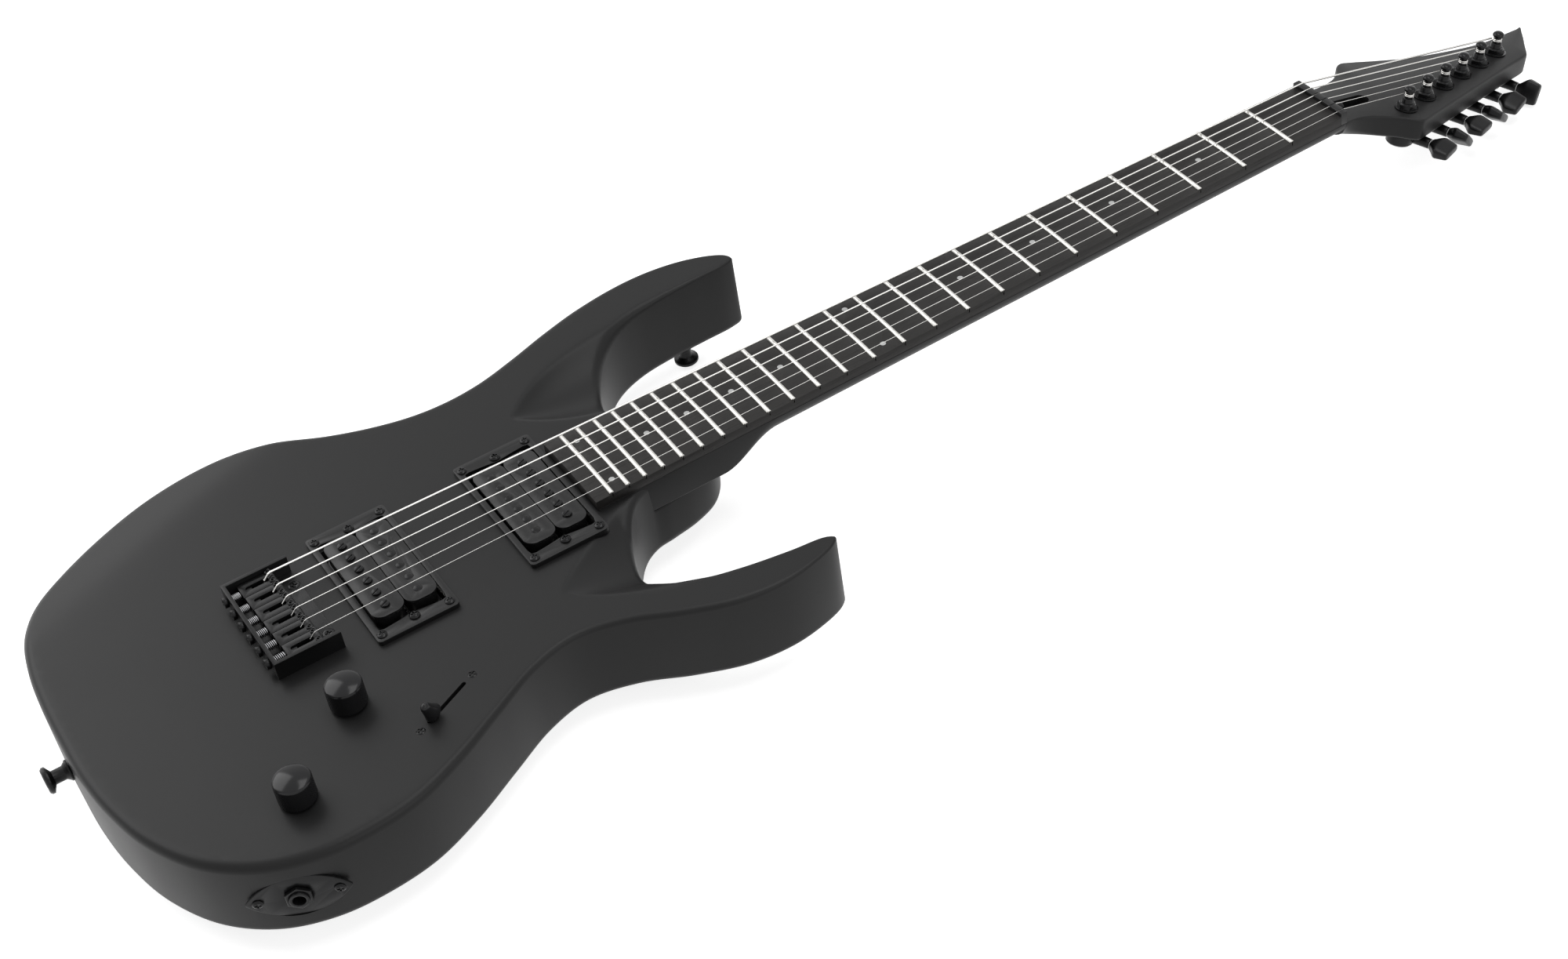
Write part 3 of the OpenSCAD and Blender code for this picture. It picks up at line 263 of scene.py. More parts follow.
def new_material(name):
    """A new material, its node tree and its main shader."""
    material = bpy.data.materials.new(name)
    material.use_nodes = True
    return material, material.node_tree, material.node_tree.nodes["Principled BSDF"]


def coated(name, colour, rough, spread=0.05, bump=0.02, fine=1400.0, metallic=0.0, specular=0.5,
           coat=0.0, worn=None):
    """A material with the mottle and wear effects on plain colour."""
    name = "finish_" + name
    if name in bpy.data.materials:
        return bpy.data.materials[name]
    material, tree, shader = new_material(name)
    fill(shader, **{"Metallic": metallic, "Specular IOR Level": specular, "Coat Weight": coat,
                    "Coat Roughness": 0.08, "Base Color": (*colour, 1)})
    mottle = add(tree, "Group", -500, 0, node_tree=mottle_group(),
                 **{"Fine Scale": fine, "Base Rough": rough, "Spread": spread})
    relief = add(tree, "Bump", -250, -200, Strength=bump, Distance=0.0004)
    wire(tree, (mottle, "Roughness", shader, "Roughness"), (mottle, "Height", relief, "Height"),
         (relief, "Normal", shader, "Normal"))
    if worn:
        wear = add(tree, "Group", -500, 300, node_tree=wear_group(),
                   **{"Color": (*colour, 1), "Worn Color": (*worn, 1), "Amount": 0.25})
        wire(tree, (wear, "Color", shader, "Base Color"))
    return material


def lacquer():
    return coated("satin_lacquer", finish().lacquer, finish().satin, spread=0.05, bump=0.05,
                  fine=2600.0, specular=0.2)


def black_plastic():
    return coated("black_plastic", finish().plastic, 0.34, spread=0.08, bump=0.10, fine=1800.0,
                  specular=0.3, worn=(0.02, 0.02, 0.02))


def black_plating():
    return coated("black_plating", finish().plating, 0.33, spread=0.10, bump=0.06, fine=2200.0,
                  metallic=0.35, specular=0.3, worn=(0.03, 0.03, 0.03))


def black_chrome():
    return coated("black_chrome", (0.012, 0.012, 0.0125), 0.2, spread=0.06, bump=0.01,
                  metallic=0.5, specular=0.3, worn=(0.04, 0.04, 0.04))


def knob_black():
    return coated("knob_black", (0.016, 0.016, 0.017), 0.16, bump=0.01, specular=0.22,
                  worn=(0.04, 0.04, 0.04))


def nickel():
    return coated("nickel", (0.62, 0.61, 0.59), 0.22, spread=0.12, bump=0.03, fine=900.0,
                  metallic=1.0)


def plain_steel():
    return coated("plain_steel", (0.35, 0.35, 0.36), 0.35, spread=0.12, bump=0.05, metallic=1.0)


def fret_nickel():
    return coated("fret_nickel", (0.70, 0.69, 0.66), 0.30, spread=0.10, bump=0.05, fine=1200.0,
                  metallic=0.85)


def pearl():
    return coated("grey_pearl", (0.58, 0.585, 0.58), 0.3, spread=0.15, fine=700.0, coat=0.4)


def wire_jacket():
    return coated("wire_jacket", (0.015, 0.015, 0.015), 0.5, spread=0.1, bump=0.1)


def ebony():
    """Dark wood with long pores and faint streaks along the strings."""
    material, tree, shader = new_material("finish_ebony")
    fill(shader, **{"Specular IOR Level": 0.2})
    dark, light, pore = ((*(c * share for c in finish().ebony), 1) for share in (0.62, 1.25, 0.4))
    place = add(tree, "TexCoord", -1300, 0)
    along_pores = add(tree, "Mapping", -1100, 0, Scale=(14, 420, 420))
    along_streaks = add(tree, "Mapping", -1100, -300, Scale=(3, 60, 60))
    pores = add(tree, "TexNoise", -850, 0, Scale=3.2, Detail=4.0, Roughness=0.7)
    streaks = add(tree, "TexNoise", -850, -300, Scale=2.0, Detail=5.0, Distortion=0.6)
    pore_ramp = add(tree, "MapRange", -600, 0, **{"From Min": 0.30, "From Max": 0.46})
    tone = add(tree, "Mix", -350, 200, data_type="RGBA")
    tone.inputs[6].default_value, tone.inputs[7].default_value = dark, light
    pore_mix = add(tree, "Mix", -120, 200, data_type="RGBA")
    pore_mix.inputs[6].default_value = pore
    rough = add(tree, "MapRange", -350, -100, **{"To Min": 0.62, "To Max": 0.46})
    relief = add(tree, "Bump", -120, -300, Strength=0.25, Distance=0.0002)
    wire(tree, (place, "Object", along_pores, "Vector"), (place, "Object", along_streaks, "Vector"),
         (along_pores, "Vector", pores, "Vector"), (along_streaks, "Vector", streaks, "Vector"),
         (pores, "Fac", pore_ramp, "Value"), (streaks, "Fac", tone, "Factor"),
         (pore_ramp, "Result", pore_mix, "Factor"), (tone, 2, pore_mix, 7),
         (pore_mix, 2, shader, "Base Color"), (pore_ramp, "Result", rough, "Value"),
         (rough, "Result", shader, "Roughness"), (pore_ramp, "Result", relief, "Height"),
         (relief, "Normal", shader, "Normal"))
    return material


def string_steel():
    """Bright steel with the fine winding of the lower strings."""
    material, tree, shader = new_material("finish_string_steel")
    fill(shader, **{"Base Color": (0.66, 0.65, 0.63, 1), "Metallic": 1.0})
    place = add(tree, "TexCoord", -900, 0)
    bands = add(tree, "TexWave", -650, 0, wave_type="BANDS", bands_direction="X",
                Scale=640.0)
    rough = add(tree, "MapRange", -400, 100, **{"To Min": 0.42, "To Max": 0.24})
    relief = add(tree, "Bump", -300, -150, Strength=0.35, Distance=0.0001)
    wire(tree, (place, "Object", bands, "Vector"), (bands, "Fac", rough, "Value"),
         (bands, "Fac", relief, "Height"), (rough, "Result", shader, "Roughness"),
         (relief, "Normal", shader, "Normal"))
    return material


# --- Making and keeping pieces ---

WELD = 2e-6
FLAT_ANGLE = radians(0.25)


def linked(name, data):
    """A new object, linked to the scene."""
    obj = bpy.data.objects.new(name, data)
    bpy.context.scene.collection.objects.link(obj)
    return obj


def as_mesh(name, bm):
    """Turns a bmesh into a mesh with smooth faces."""
    for face in bm.faces:
        face.smooth = True
    mesh = bpy.data.meshes.new(name)
    bm.to_mesh(mesh)
    bm.free()
    return mesh


def coat_mesh(mesh, material):
    mesh.materials.clear()
    mesh.materials.append(material)


def keep(name, mesh, material, node, stands=True, rides=True):
    """Links a finished mesh as a piece that rides with a node's body and stands for it."""
    piece = linked(name, mesh)
    coat_mesh(mesh, material)
    if rides:
        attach(piece, BODY_OF[node])
    if stands:
        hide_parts(node)
    return piece


def to_mesh(name, bm, matrix, crease=35):
    """Turns a bmesh in the guitar's millimetres into a mesh in the frame, facing outwards."""
    bmesh.ops.transform(bm, matrix=TO_FRAME @ matrix, verts=bm.verts)
    bmesh.ops.recalc_face_normals(bm, faces=bm.faces)
    mesh = as_mesh(name, bm)
    mesh.set_sharp_from_angle(angle=radians(crease))
    return mesh


def shaped(name, bm, matrix, crease, material, node, **how):
    """Keeps a bmesh as a piece; the matrix places it on the guitar."""
    return keep(name, to_mesh(name, bm, matrix, crease), material, node, **how)


def softened(node, material, width=0.25, segments=2, crease=32):
    """A construction node with its hard edges broken, as machining and plating leave them."""
    bm = bmesh.new()
    bm.from_mesh(frame["nodes"][node].data)
    # Join its loose triangles and make its flat faces whole
    bmesh.ops.remove_doubles(bm, verts=bm.verts, dist=WELD)
    bmesh.ops.dissolve_limit(bm, angle_limit=FLAT_ANGLE, verts=bm.verts, edges=bm.edges)
    piece = keep(f"{node}_finished", as_mesh(node, bm), material, node)
    edge = piece.modifiers.new("broken_edges", "BEVEL")
    edge.width = width * MM
    edge.segments = segments
    edge.limit_method = "ANGLE"
    edge.angle_limit = radians(crease)
    edge.harden_normals = True
    edge.use_clamp_overlap = True


def painted(node, material):
    """Keeps a construction node's own shape and gives it its finish."""
    coat_mesh(frame["nodes"][node].data, material)


def ring_loop(bm, segments, matrix):
    """A loop of edges on a circle, shaped and placed by a matrix."""
    verts = bmesh.ops.create_circle(bm, cap_ends=False, radius=1, segments=segments)["verts"]
    bmesh.ops.transform(bm, matrix=matrix, verts=verts)
    return verts, list(dict.fromkeys(edge for vert in verts for edge in vert.link_edges))


def lofted(matrices, segments):
    """A bmesh that bridges a row of circles, each shaped by its own matrix, and closes its ends."""
    bm = bmesh.new()
    return bridged(bm, [ring_loop(bm, segments, matrix) for matrix in matrices])


def bridged(bm, loops):
    """Bridges each loop to the next and closes the first and the last."""
    for (_, low), (_, high) in zip(loops, loops[1:]):
        bmesh.ops.bridge_loops(bm, edges=low + high)
    for _, edges in (loops[0], loops[-1]):
        bmesh.ops.edgeloop_fill(bm, edges=edges)
    return bm


def wound(turns, steps, wire, stand):
    """A bmesh of a coiled wire; stand places its section from the angle and the share wound."""
    count = int(turns * steps)
    return lofted([stand(tau * k / steps, k / count) @ Matrix.Scale(wire, 4)
                   for k in range(count + 1)], 8)


def turned(profile, segments):
    """A bmesh spun about z from (radius, height) points, closed on the axis."""
    bm = bmesh.new()
    verts = [bm.verts.new((max(r, 0.0), 0, z)) for r, z in profile]
    edges = [bm.edges.new(pair) for pair in zip(verts, verts[1:])]
    bmesh.ops.spin(bm, geom=verts + edges, cent=(0, 0, 0), axis=(0, 0, 1), angle=tau,
                   steps=segments, use_merge=True, use_duplicate=False)
    bmesh.ops.remove_doubles(bm, verts=bm.verts, dist=1e-5)
    return bm


def prism(loop, low, high):
    """A bmesh that fills a closed loop from one height to another."""
    bm = bmesh.new()
    face = bm.faces.new([bm.verts.new((x, y, low)) for x, y in loop])
    up = bmesh.ops.extrude_face_region(bm, geom=[face])["geom"]
    top = [part for part in up if isinstance(part, bmesh.types.BMVert)]
    bmesh.ops.translate(bm, vec=(0, 0, high - low), verts=top)
    return bm


def cut_away(piece, bm, matrix, crease):
    """Takes a bmesh's shape out of a piece and leaves no modifier behind."""
    cutter = linked("cutter", to_mesh("cutter", bm, matrix))
    change = piece.modifiers.new("cut", "BOOLEAN")
    change.operation = "DIFFERENCE"
    change.solver = "EXACT"
    change.object = cutter
    graph = bpy.context.evaluated_depsgraph_get()
    mesh = bpy.data.meshes.new_from_object(piece.evaluated_get(graph))
    piece.modifiers.clear()
    piece.data = mesh
    mesh.set_sharp_from_angle(angle=radians(crease))
    bpy.data.objects.remove(cutter)


# --- Curves shared by outlines ---


def through(points, steps, closed=True):
    """A smooth curve through points with even pull, so that close points don't loop."""
    count = len(points)
    p = [Vector(q) for q in points]
    out = []
    for i in range(count if closed else count - 1):
        p0, p1, p2, p3 = (p[(i + k) % count] if closed else p[min(max(i + k, 0), count - 1)]
                          for k in (-1, 0, 1, 2))
        a, b, c = (max(sqrt((q - r).length), 1e-6) for q, r in ((p1, p0), (p2, p1), (p3, p2)))
        m1 = p2 - p1 + b * ((p1 - p0) / a - (p2 - p0) / (a + b))
        m2 = p2 - p1 + b * ((p3 - p2) / c - (p3 - p1) / (b + c))
        for k in range(steps):
            u = k / steps
            bend = (2 * (p1 - p2) + m1 + m2) * u**3 - (3 * (p1 - p2) + 2 * m1 + m2) * u**2
            out.append(bend + m1 * u + p1)
    return out


NUT_WIDTH = 42
BOARD_FLARE = 15.6


def board_half(x):
    """Half the fretboard's width at x."""
    return (NUT_WIDTH + BOARD_FLARE * (SCALE - x) / (SCALE - BOARD_END)) / 2


def eased(t):
    t = min(max(t, 0.0), 1.0)
    return t * t * (3 - 2 * t)


# --- Body ---

BODY_OUTLINE = [
    (-131, 0), (-131, -30), (-128, -58), (-120.5, -88), (-105, -117), (-83, -136.5),
    (-58, -146), (-33, -147.8), (-6, -144.5), (22, -133.5), (50, -118.5), (76, -105),
    (100, -99.5), (125, -105.5), (150, -118.5), (176, -129), (200, -132), (220, -129.3),
    (233, -124.8), (236.8, -120.8), (233, -117.6), (214, -114.4), (190, -109),
    (170, -102.5), (156, -93), (150, -79), (152.5, -64), (160, -47.5), (170.5, -34.5),
    (181, -28.8), (192, -27.6), (208, -24.6), (222, -18.4), (231, -8), (234.6, 3),
    (230, 13), (220, 20.6), (207, 25.4),
    (195, 28.8), (195.5, 42), (199.5, 57), (206.5, 71.5),
    (216.5, 84.5), (229, 93.8), (245, 99.8), (265, 102.6), (288, 103.6), (307, 104.4),
    (313.5, 106.6), (312.8, 111), (307, 116.4), (289, 124.4), (268, 129), (246, 129.8),
    (222, 126.6), (197, 119.8), (172, 111.4), (150, 105.3), (130, 103.2), (111, 104.6),
    (90, 110.2), (66, 120.4), (40, 135.8), (14, 146.6), (-10, 149.2), (-35, 145.8),
    (-62, 135.4), (-88, 120.2), (-108, 103.4), (-120, 83), (-127, 56), (-130, 28),
]
TONGUE_TOP = -17.8
# Slanting contours: a place on the edge, the way across it, softness and slope
FOREARM = (-22, 108, -0.358, 0.934, 9.0, 0.272)
BELLY = (-10, 118, -0.208, 0.978, 10.0, 0.30)
SCOOP_RIM = 0.008  # how softly a scoop's rim is rolled over
TIP_RADIUS = 1.3


def in_tongue(x, y):
    """True where only the tongue under the neck's heel carries on."""
    return (x > 181.5 + (y + 29) * 0.24) & (np.abs(y) < 33)


def faded(value, start, length):
    """0 before the start, 1 a length past it and a straight line between."""
    return np.clip((value - start) / length, 0, 1)


def ramp(t, softness):
    """A line through 0 for t above 0 and flat below, with a soft knee."""
    return 0.5 * (t + np.sqrt(t * t + softness * softness)) - softness / 2


def contour(x, y, edge_x, edge_y, way_x, way_y, softness, slope):
    """How deep a slanting contour cuts into the wood."""
    return ramp((x - edge_x) * way_x + (y - edge_y) * way_y - 4, softness) * slope


def scoop(x, y, apex, centre, half_width, depth_at):
    """Depth of a scalloped cutaway scoop that opens from its apex towards +x."""
    s = np.maximum(x - apex, 0.01)
    across = (y - centre) / half_width(s)
    bowl = np.maximum(1 - across * across, -30)
    return depth_at(s) * 0.5 * (bowl + np.sqrt(bowl * bowl + SCOOP_RIM)) * (x > apex)


def face_height(x, y, d):
    """Height of the body's face at points d inside its outline."""
    depth = shape().scoop_depth
    z = -contour(x, y, *FOREARM)
    treble = scoop(x, y, 110.0, -69.5, lambda s: 1.75 * s**0.76,
                   lambda s: depth * (s / 40) ** 1.15)
    bass = scoop(x, y, 151.0, 64.6, lambda s: 36.5 * (1 - np.exp(-s / 32)),
                 lambda s: depth * (1 - np.exp(-s / 24)))
    # The treble scoop runs out where the horn begins
    treble = treble * faded(y, -104, 22) * faded(-x, -172, 14)
    z = z - np.where(y < 0, treble, bass) * (np.abs(y) > 20)
    # Rounded rim, crisper towards the horns' tips
    z = z - rim_drop(d, rim_radius(x, y))
    return np.where(in_tongue(x, y), TONGUE_TOP - rim_drop(d, np.full_like(x, 1.0)), z)


def rim_radius(x, y):
    """Radius of the rim: full at the tail, less at the treble waist, small at the horns' tips."""
    waist = faded(x, -20, 90) * faded(-y, 0, 60)
    share = np.where(y > 0, faded(x, 225, 75), faded(x, 172, 56))
    share = share * share * (3 - 2 * share)
    return shape().edge_radius * (1 - 0.4 * waist) * (1 - share) + TIP_RADIUS * share


def rim_drop(d, r):
    inside = np.clip(r - d, 0, r)
    return r - np.sqrt(np.maximum(r * r - inside * inside, 0))


def back_height(x, y, d):
    """Height of the body's back at points d inside its outline."""
    tongue = faded(x, 168, 26) * (np.abs(y) < 36)
    rim = rim_drop(d, shape().edge_radius + 2 * tongue)
    return -BODY_DEPTH + contour(x, y, *BELLY) + rim


HEX_ROW = 0.866  # height of a row of triangles over their side
CHUNK = 2000


def distance_inside(points, loop):
    """How far each point lies from a closed loop of points."""
    a = np.array(loop)
    b = np.roll(a, -1, axis=0)
    out = np.empty(len(points))
    for start in range(0, len(points), CHUNK):
        p = points[start:start + CHUNK, None, :]
        ab = (b - a)[None]
        t = np.clip(((p - a[None]) * ab).sum(-1) / (ab * ab).sum(-1), 0, 1)
        apart = (a[None] + t[..., None] * ab) - p
        out[start:start + CHUNK] = np.sqrt((apart ** 2).sum(-1)).min(1)
    return out


def is_inside(points, loop):
    """Which points lie inside a closed loop."""
    a = np.array(loop)
    b = np.roll(a, -1, axis=0)
    x, y = points[:, 0][:, None], points[:, 1][:, None]
    crosses = (a[None, :, 1] > y) != (b[None, :, 1] > y)
    with np.errstate(divide="ignore", invalid="ignore"):
        cut = (b[:, 0] - a[:, 0]) * (y - a[:, 1]) / (b[:, 1] - a[:, 1]) + a[:, 0]
    return ((x < cut) & crosses).sum(1) % 2 == 1


def hex_grid(x0, x1, y0, y1, step):
    """Points in rows, each row half a step beside the last."""
    rows = np.arange(y0, y1, step * HEX_ROW)
    return np.array([(x + (k % 2) * step / 2, y) for k, y in enumerate(rows)
                     for x in np.arange(x0, x1, step)])


def rounded_slot(cx, cy, half_x, half_y, r, corner=4):
    """A rectangle with rounded corners, as a loop of points."""
    out = []
    for qx, qy, a0 in ((1, 1, 0), (-1, 1, 90), (-1, -1, 180), (1, -1, 270)):
        for k in range(corner + 1):
            a = radians(a0 + 90 * k / corner)
            out.append((cx + qx * (half_x - r) + r * cos(a),
                        cy + qy * (half_y - r) + r * sin(a)))
    return out


def circle_loop(cx, cy, r, count=24):
    return [(cx + r * cos(tau * k / count), cy + r * sin(tau * k / count))
            for k in range(count)]


PICKUP_X = (43.2, 128.0)
SWITCH_AT = (30.75, -99.15)
SWITCH_TURN = radians(26.1)
SLOT_HALF = 14.5
POT_HOLE = 4.1
PICKUP_FLOOR = -22
CONTROL_FLOOR = -6


def pickup_hole(x):
    """The cavity's mouth: a rounded box with an ear for each height screw."""
    top = rounded_slot(x, 0, 20, 35.5, 3)
    ear = [(x + 7, 35.5), (x + 7, 42), (x + 5, 44), (x - 5, 44), (x - 7, 42), (x - 7, 35.5)]
    left = [(2 * x - px, -py) for px, py in ear]
    return top[:5] + ear + top[5:15] + left + top[15:]


def slot_hole():
    c, s = cos(SWITCH_TURN), sin(SWITCH_TURN)
    return [(SWITCH_AT[0] + px * c - py * s, SWITCH_AT[1] + px * s + py * c)
            for px, py in rounded_slot(0, 0, SLOT_HALF, 1.1, 1.09, corner=3)]


COVER_POINTS = [
    (-14, -52), (12, -57), (36, -73), (58, -79), (63, -90), (52, -100), (34, -110), (8, -122),
    (-24, -130), (-52, -127), (-67, -114), (-66, -98), (-48, -84), (-30, -66)]
COVER_CENTRE = Vector((-4, -96))


def cover_outline(grow):
    pushed = [Vector(p) + grow * (Vector(p) - COVER_CENTRE).normalized() for p in COVER_POINTS]
    return [tuple(p) for p in through(pushed, 3)]


def face_wells():
    """Each hole in the face and the height of its floor."""
    return ([(pickup_hole(x), PICKUP_FLOOR) for x in PICKUP_X] + [(slot_hole(), CONTROL_FLOOR)]
            + [(circle_loop(x, y, POT_HOLE), CONTROL_FLOOR) for x, y in KNOB_AT.values()])


def back_wells():
    """Each hole in the back and the height of its floor."""
    ferrules = [(-7.8 + 0.3 * i, string_y(i)) for i in range(STRINGS)]
    bolts = [(BOARD_END + x, y) for x in (12, 43) for y in (-15, 15)]
    return ([(circle_loop(x, y, 3.7), -37) for x, y in ferrules]
            + [(circle_loop(x, y, 7.6, 32), -41) for x, y in bolts]
            + [(cover_outline(8.0), -42.6)])


def skin(bm, outline, wells, heights, spots):
    """One side of the body: a fine net of faces inside the outline, with its wells.

    wells holds each hole and its floor; heights gives z from x, y and how far inside they lie."""
    loop = np.array(outline)
    spots = spots[is_inside(spots, loop)]
    spots = spots[distance_inside(spots, loop) > 0.12]
    holes = [hole for hole, _ in wells]
    for hole in holes:
        spots = spots[~is_inside(spots, hole) & (distance_inside(spots, hole) > 0.5)]
    points = []
    edges = []
    for ring in [outline] + holes:
        start, count = len(points), len(ring)
        edges += [(start + k, start + (k + 1) % count) for k in range(count)]
        points += [Vector(p) for p in ring]
    points += [Vector(p) for p in spots]
    verts, _, faces, _, _, _ = delaunay_2d_cdt(points, edges, [], 1, 1e-4)
    xy = np.array([tuple(v) for v in verts])
    z = heights(xy[:, 0], xy[:, 1], distance_inside(xy, loop))
    made = [bm.verts.new((x, y, h)) for (x, y), h in zip(xy, z)]
    centres = np.array([np.mean([xy[i] for i in face], axis=0) for face in faces])
    solid = np.ones(len(faces), bool)
    for hole in holes:
        solid &= ~is_inside(centres, hole)
    for face, good in zip(faces, solid):
        if good:
            bm.faces.new([made[i] for i in face])
    for vert in [v for v in made if not v.link_faces]:
        bm.verts.remove(vert)
    start = len(outline)
    for hole, floor in wells:
        well(bm, made[start:start + len(hole)], floor)
        start += len(hole)


def edge_points(outline, radius, rows):
    """Points on lines that run beside the outline, closer together towards it."""
    p = np.array(outline)
    tangent = np.roll(p, -1, axis=0) - np.roll(p, 1, axis=0)
    tangent /= np.linalg.norm(tangent, axis=1)[:, None]
    normal = np.stack([tangent[:, 1], -tangent[:, 0]], axis=1)
    out = []
    for k in range(1, rows + 1):
        d = radius * (1 - cos(QUARTER * k / rows))
        for side in (1, -1):
            moved = p + normal * d * side
            out.append(moved[is_inside(moved, p) & (distance_inside(moved, p) > d * 0.97)])
    return np.concatenate(out)


def well(bm, rim, floor):
    """Walls and a floor below a rim of vertices, which follow one another."""
    low = [bm.verts.new((v.co.x, v.co.y, floor)) for v in rim]
    count = len(rim)
    for k in range(count):
        bm.faces.new((rim[k], rim[(k + 1) % count], low[(k + 1) % count], low[k]))
    bm.faces.new(low)


BODY_NET = (-132, 316, -150, 151, 5.0)
# Where the net is finer: around the scoops, the forearm's contour and the neck's end
FINE_NETS = ((106, 184, -106, -28, 1.7), (148, 312, 30, 108, 1.9),
             (-110, 60, 92, 150, 3.0), (176, 198, -30, 31, 1.5))


class GUITAR_OT_body(Operator):
    """Carve the body: rounded rim, forearm and belly contours, cutaway scoops and heel tongue"""

    bl_idname = "guitar.body"
    bl_label = "Body"

    def execute(self, context):
        radius = shape().edge_radius
        outline = [tuple(p) for p in through(BODY_OUTLINE, 8)]
        coarse = hex_grid(*BODY_NET)
        x, y = coarse.T
        treble = (x > 105) & (x < 184) & (y < -28) & (y > -106)
        bass = (x > 147) & (y > 30) & (y < 108)
        coarse = coarse[~(treble | bass)]
        coarse = coarse[distance_inside(coarse, outline) > radius + 1]
        fine = np.concatenate([hex_grid(*net) for net in FINE_NETS])
        fine = fine[distance_inside(fine, outline) > radius * 0.8]
        spots = np.concatenate([edge_points(outline, radius, 7), coarse, fine])
        bm = bmesh.new()
        skin(bm, outline, face_wells(), face_height, spots)
        skin(bm, outline, back_wells(), back_height, spots)
        bmesh.ops.bridge_loops(bm, edges=[e for e in bm.edges if e.is_boundary])
        piece = shaped("body_carved", bm, Matrix(), 50, lacquer(), "body")
        # The pointed oval recess that the jack's plate lies in
        cut_away(piece, prism(jack_plate_outline(0.15), -1.55, 8), jack_matrix(), 50)
        return {"FINISHED"}


JACK_AT = (-71.5, -141.4, -BODY_DEPTH / 2)
JACK_TURN = radians(-112.5)


def jack_matrix():
    """The jack's seat: z runs out of the body's side, y along it."""
    return shift(JACK_AT) @ turn("Z", JACK_TURN) @ turn("Y", QUARTER)


def jack_plate_outline(grow, count=18):
    """Two arcs that meet in points, cut square at the waist's widest."""
    radius, reach = 30.4 + grow, 17.6
    half = 12.8 + grow
    out = []
    tip = sqrt(radius**2 - reach**2)
    for side in (1, -1):
        for k in range(count):
            y = -tip + 2 * tip * k / count
            x = min(sqrt(radius**2 - y * y) - reach, half)
            out.append((side * x, side * y))
    return out


# --- Neck and headstock ---

HEAD_TREBLE = [
    (-2, -20.8), (3, -18.6), (11, -18), (21, -20.2), (31, -25.2), (37.5, -30), (42, -34.4),
    (45.4, -36.6), (48.4, -36.2), (64, -31.3), (92, -22.6), (120, -13.9), (148, -5.2),
    (166.6, 0.6), (168.8, 2.8), (174.6, 10), (183, 20), (189.9, 29.2)]
HEAD_BASS = [
    (-2, 21.0), (4, 21.4), (14, 22.4), (24, 24.6), (33, 28), (40, 33.4), (46, 39.4), (50, 41.2),
    (56, 40), (72, 35), (92, 29.6), (115, 26.4), (138, 24.7), (154, 25), (171, 27.6),
    (189.9, 30.6)]
HEAD_DEPTH = 13.5
SECTION_STEPS = 9


def section(low_y, high_y, depth, rx, rz, edge):
    """A neck section in its own plane: flat top at 0, straight sides, elliptical lower corners."""
    middle = (low_y + high_y) / 2
    sides = []
    for side, y_edge in ((1, high_y), (-1, low_y)):
        rx_here = min(rx, abs(y_edge - middle) * 0.999)
        points = [(middle, 0)]
        for k in range(4):
            a = QUARTER * k / 3
            points.append((y_edge - side * edge * (1 - sin(a)), -edge * (1 - cos(a))))
        for k in range(SECTION_STEPS + 1):
            a = QUARTER * k / SECTION_STEPS
            points.append((y_edge - side * rx_here * (1 - cos(a)),
                           rz * (1 - sin(a)) - depth))
        sides.append(points)
    right, left = sides
    return right + [(middle, -depth)] + left[:0:-1]


def spread_out(*spans):
    """One list of even steps through each (first, last, count) span."""
    return [x for span in spans for x in np.linspace(*span)]


def blended(a, b, share):
    return a * (1 - share) + b * share


def shaft_stations():
    """The neck's sections from the heel to the nut, each with its plane's x, z and lean."""
    heel_x = BOARD_END + 80
    spans = ((BOARD_END + 10, heel_x - 14, 6), (heel_x - 8, heel_x + 34, 15),
             (heel_x + 50, SCALE - 24, 18))
    for x in ([BOARD_END + 1, BOARD_END + 1.6, BOARD_END + 3] + spread_out(*spans)
              + [SCALE - 16, SCALE - 9, SCALE - 3, NUT_END - 0.4]):
        half = board_half(x) + 0.12
        share = eased((x - (heel_x - 6)) / 36)
        bottom = blended(-17.5, -14.6 + 4.0 * (x - heel_x) / (SCALE - heel_x), share)
        rx = blended(1.2, half, share)
        rz = blended(1.2, BOARD_UNDER - bottom - 0.3, share)
        if x < BOARD_END + 2:
            bottom += 0.5 if x < BOARD_END + 1.3 else 0.1
        lean = HEAD_TILT * eased((x - (SCALE - 24)) / 44)
        yield x, BOARD_UNDER, lean, section(-half, half, BOARD_UNDER - bottom, rx, rz, 0.05)


def head_stations():
    """The headstock's sections from the nut to the tip, as shaft_stations gives the neck's."""
    treble, bass = (np.array([tuple(p) for p in through(curve, 6, closed=False)] + curve[-1:])
                    for curve in (HEAD_TREBLE, HEAD_BASS))
    spans = (0.0, 36, 25), (37, 56, 24), (60, 160, 26), (163, 189.2, 27)
    for s in spread_out(*spans) + [189.6]:
        low, high = (float(np.interp(s, *curve.T)) for curve in (treble, bass))
        grow = eased((s + 14) / 46)
        half = (high - low) / 2
        depth = 12.6 + (HEAD_DEPTH - 12.6) * eased(s / 12)
        rx = min(blended(half, 2.2, grow), half * 0.98)
        rz = blended(depth - 0.5, 2.2, grow)
        edge = min(0.3 + 1.3 * eased((s - 2) / 16), half * 0.6)
        lean = HEAD_TILT * eased((s + 24) / 44 + 0.08) if s < 18 else HEAD_TILT
        x = NUT_END + s * cos(HEAD_TILT)
        z = HEAD_FACE - s * sin(HEAD_TILT)
        yield x, z, lean, section(low, high, depth, rx, rz, edge)


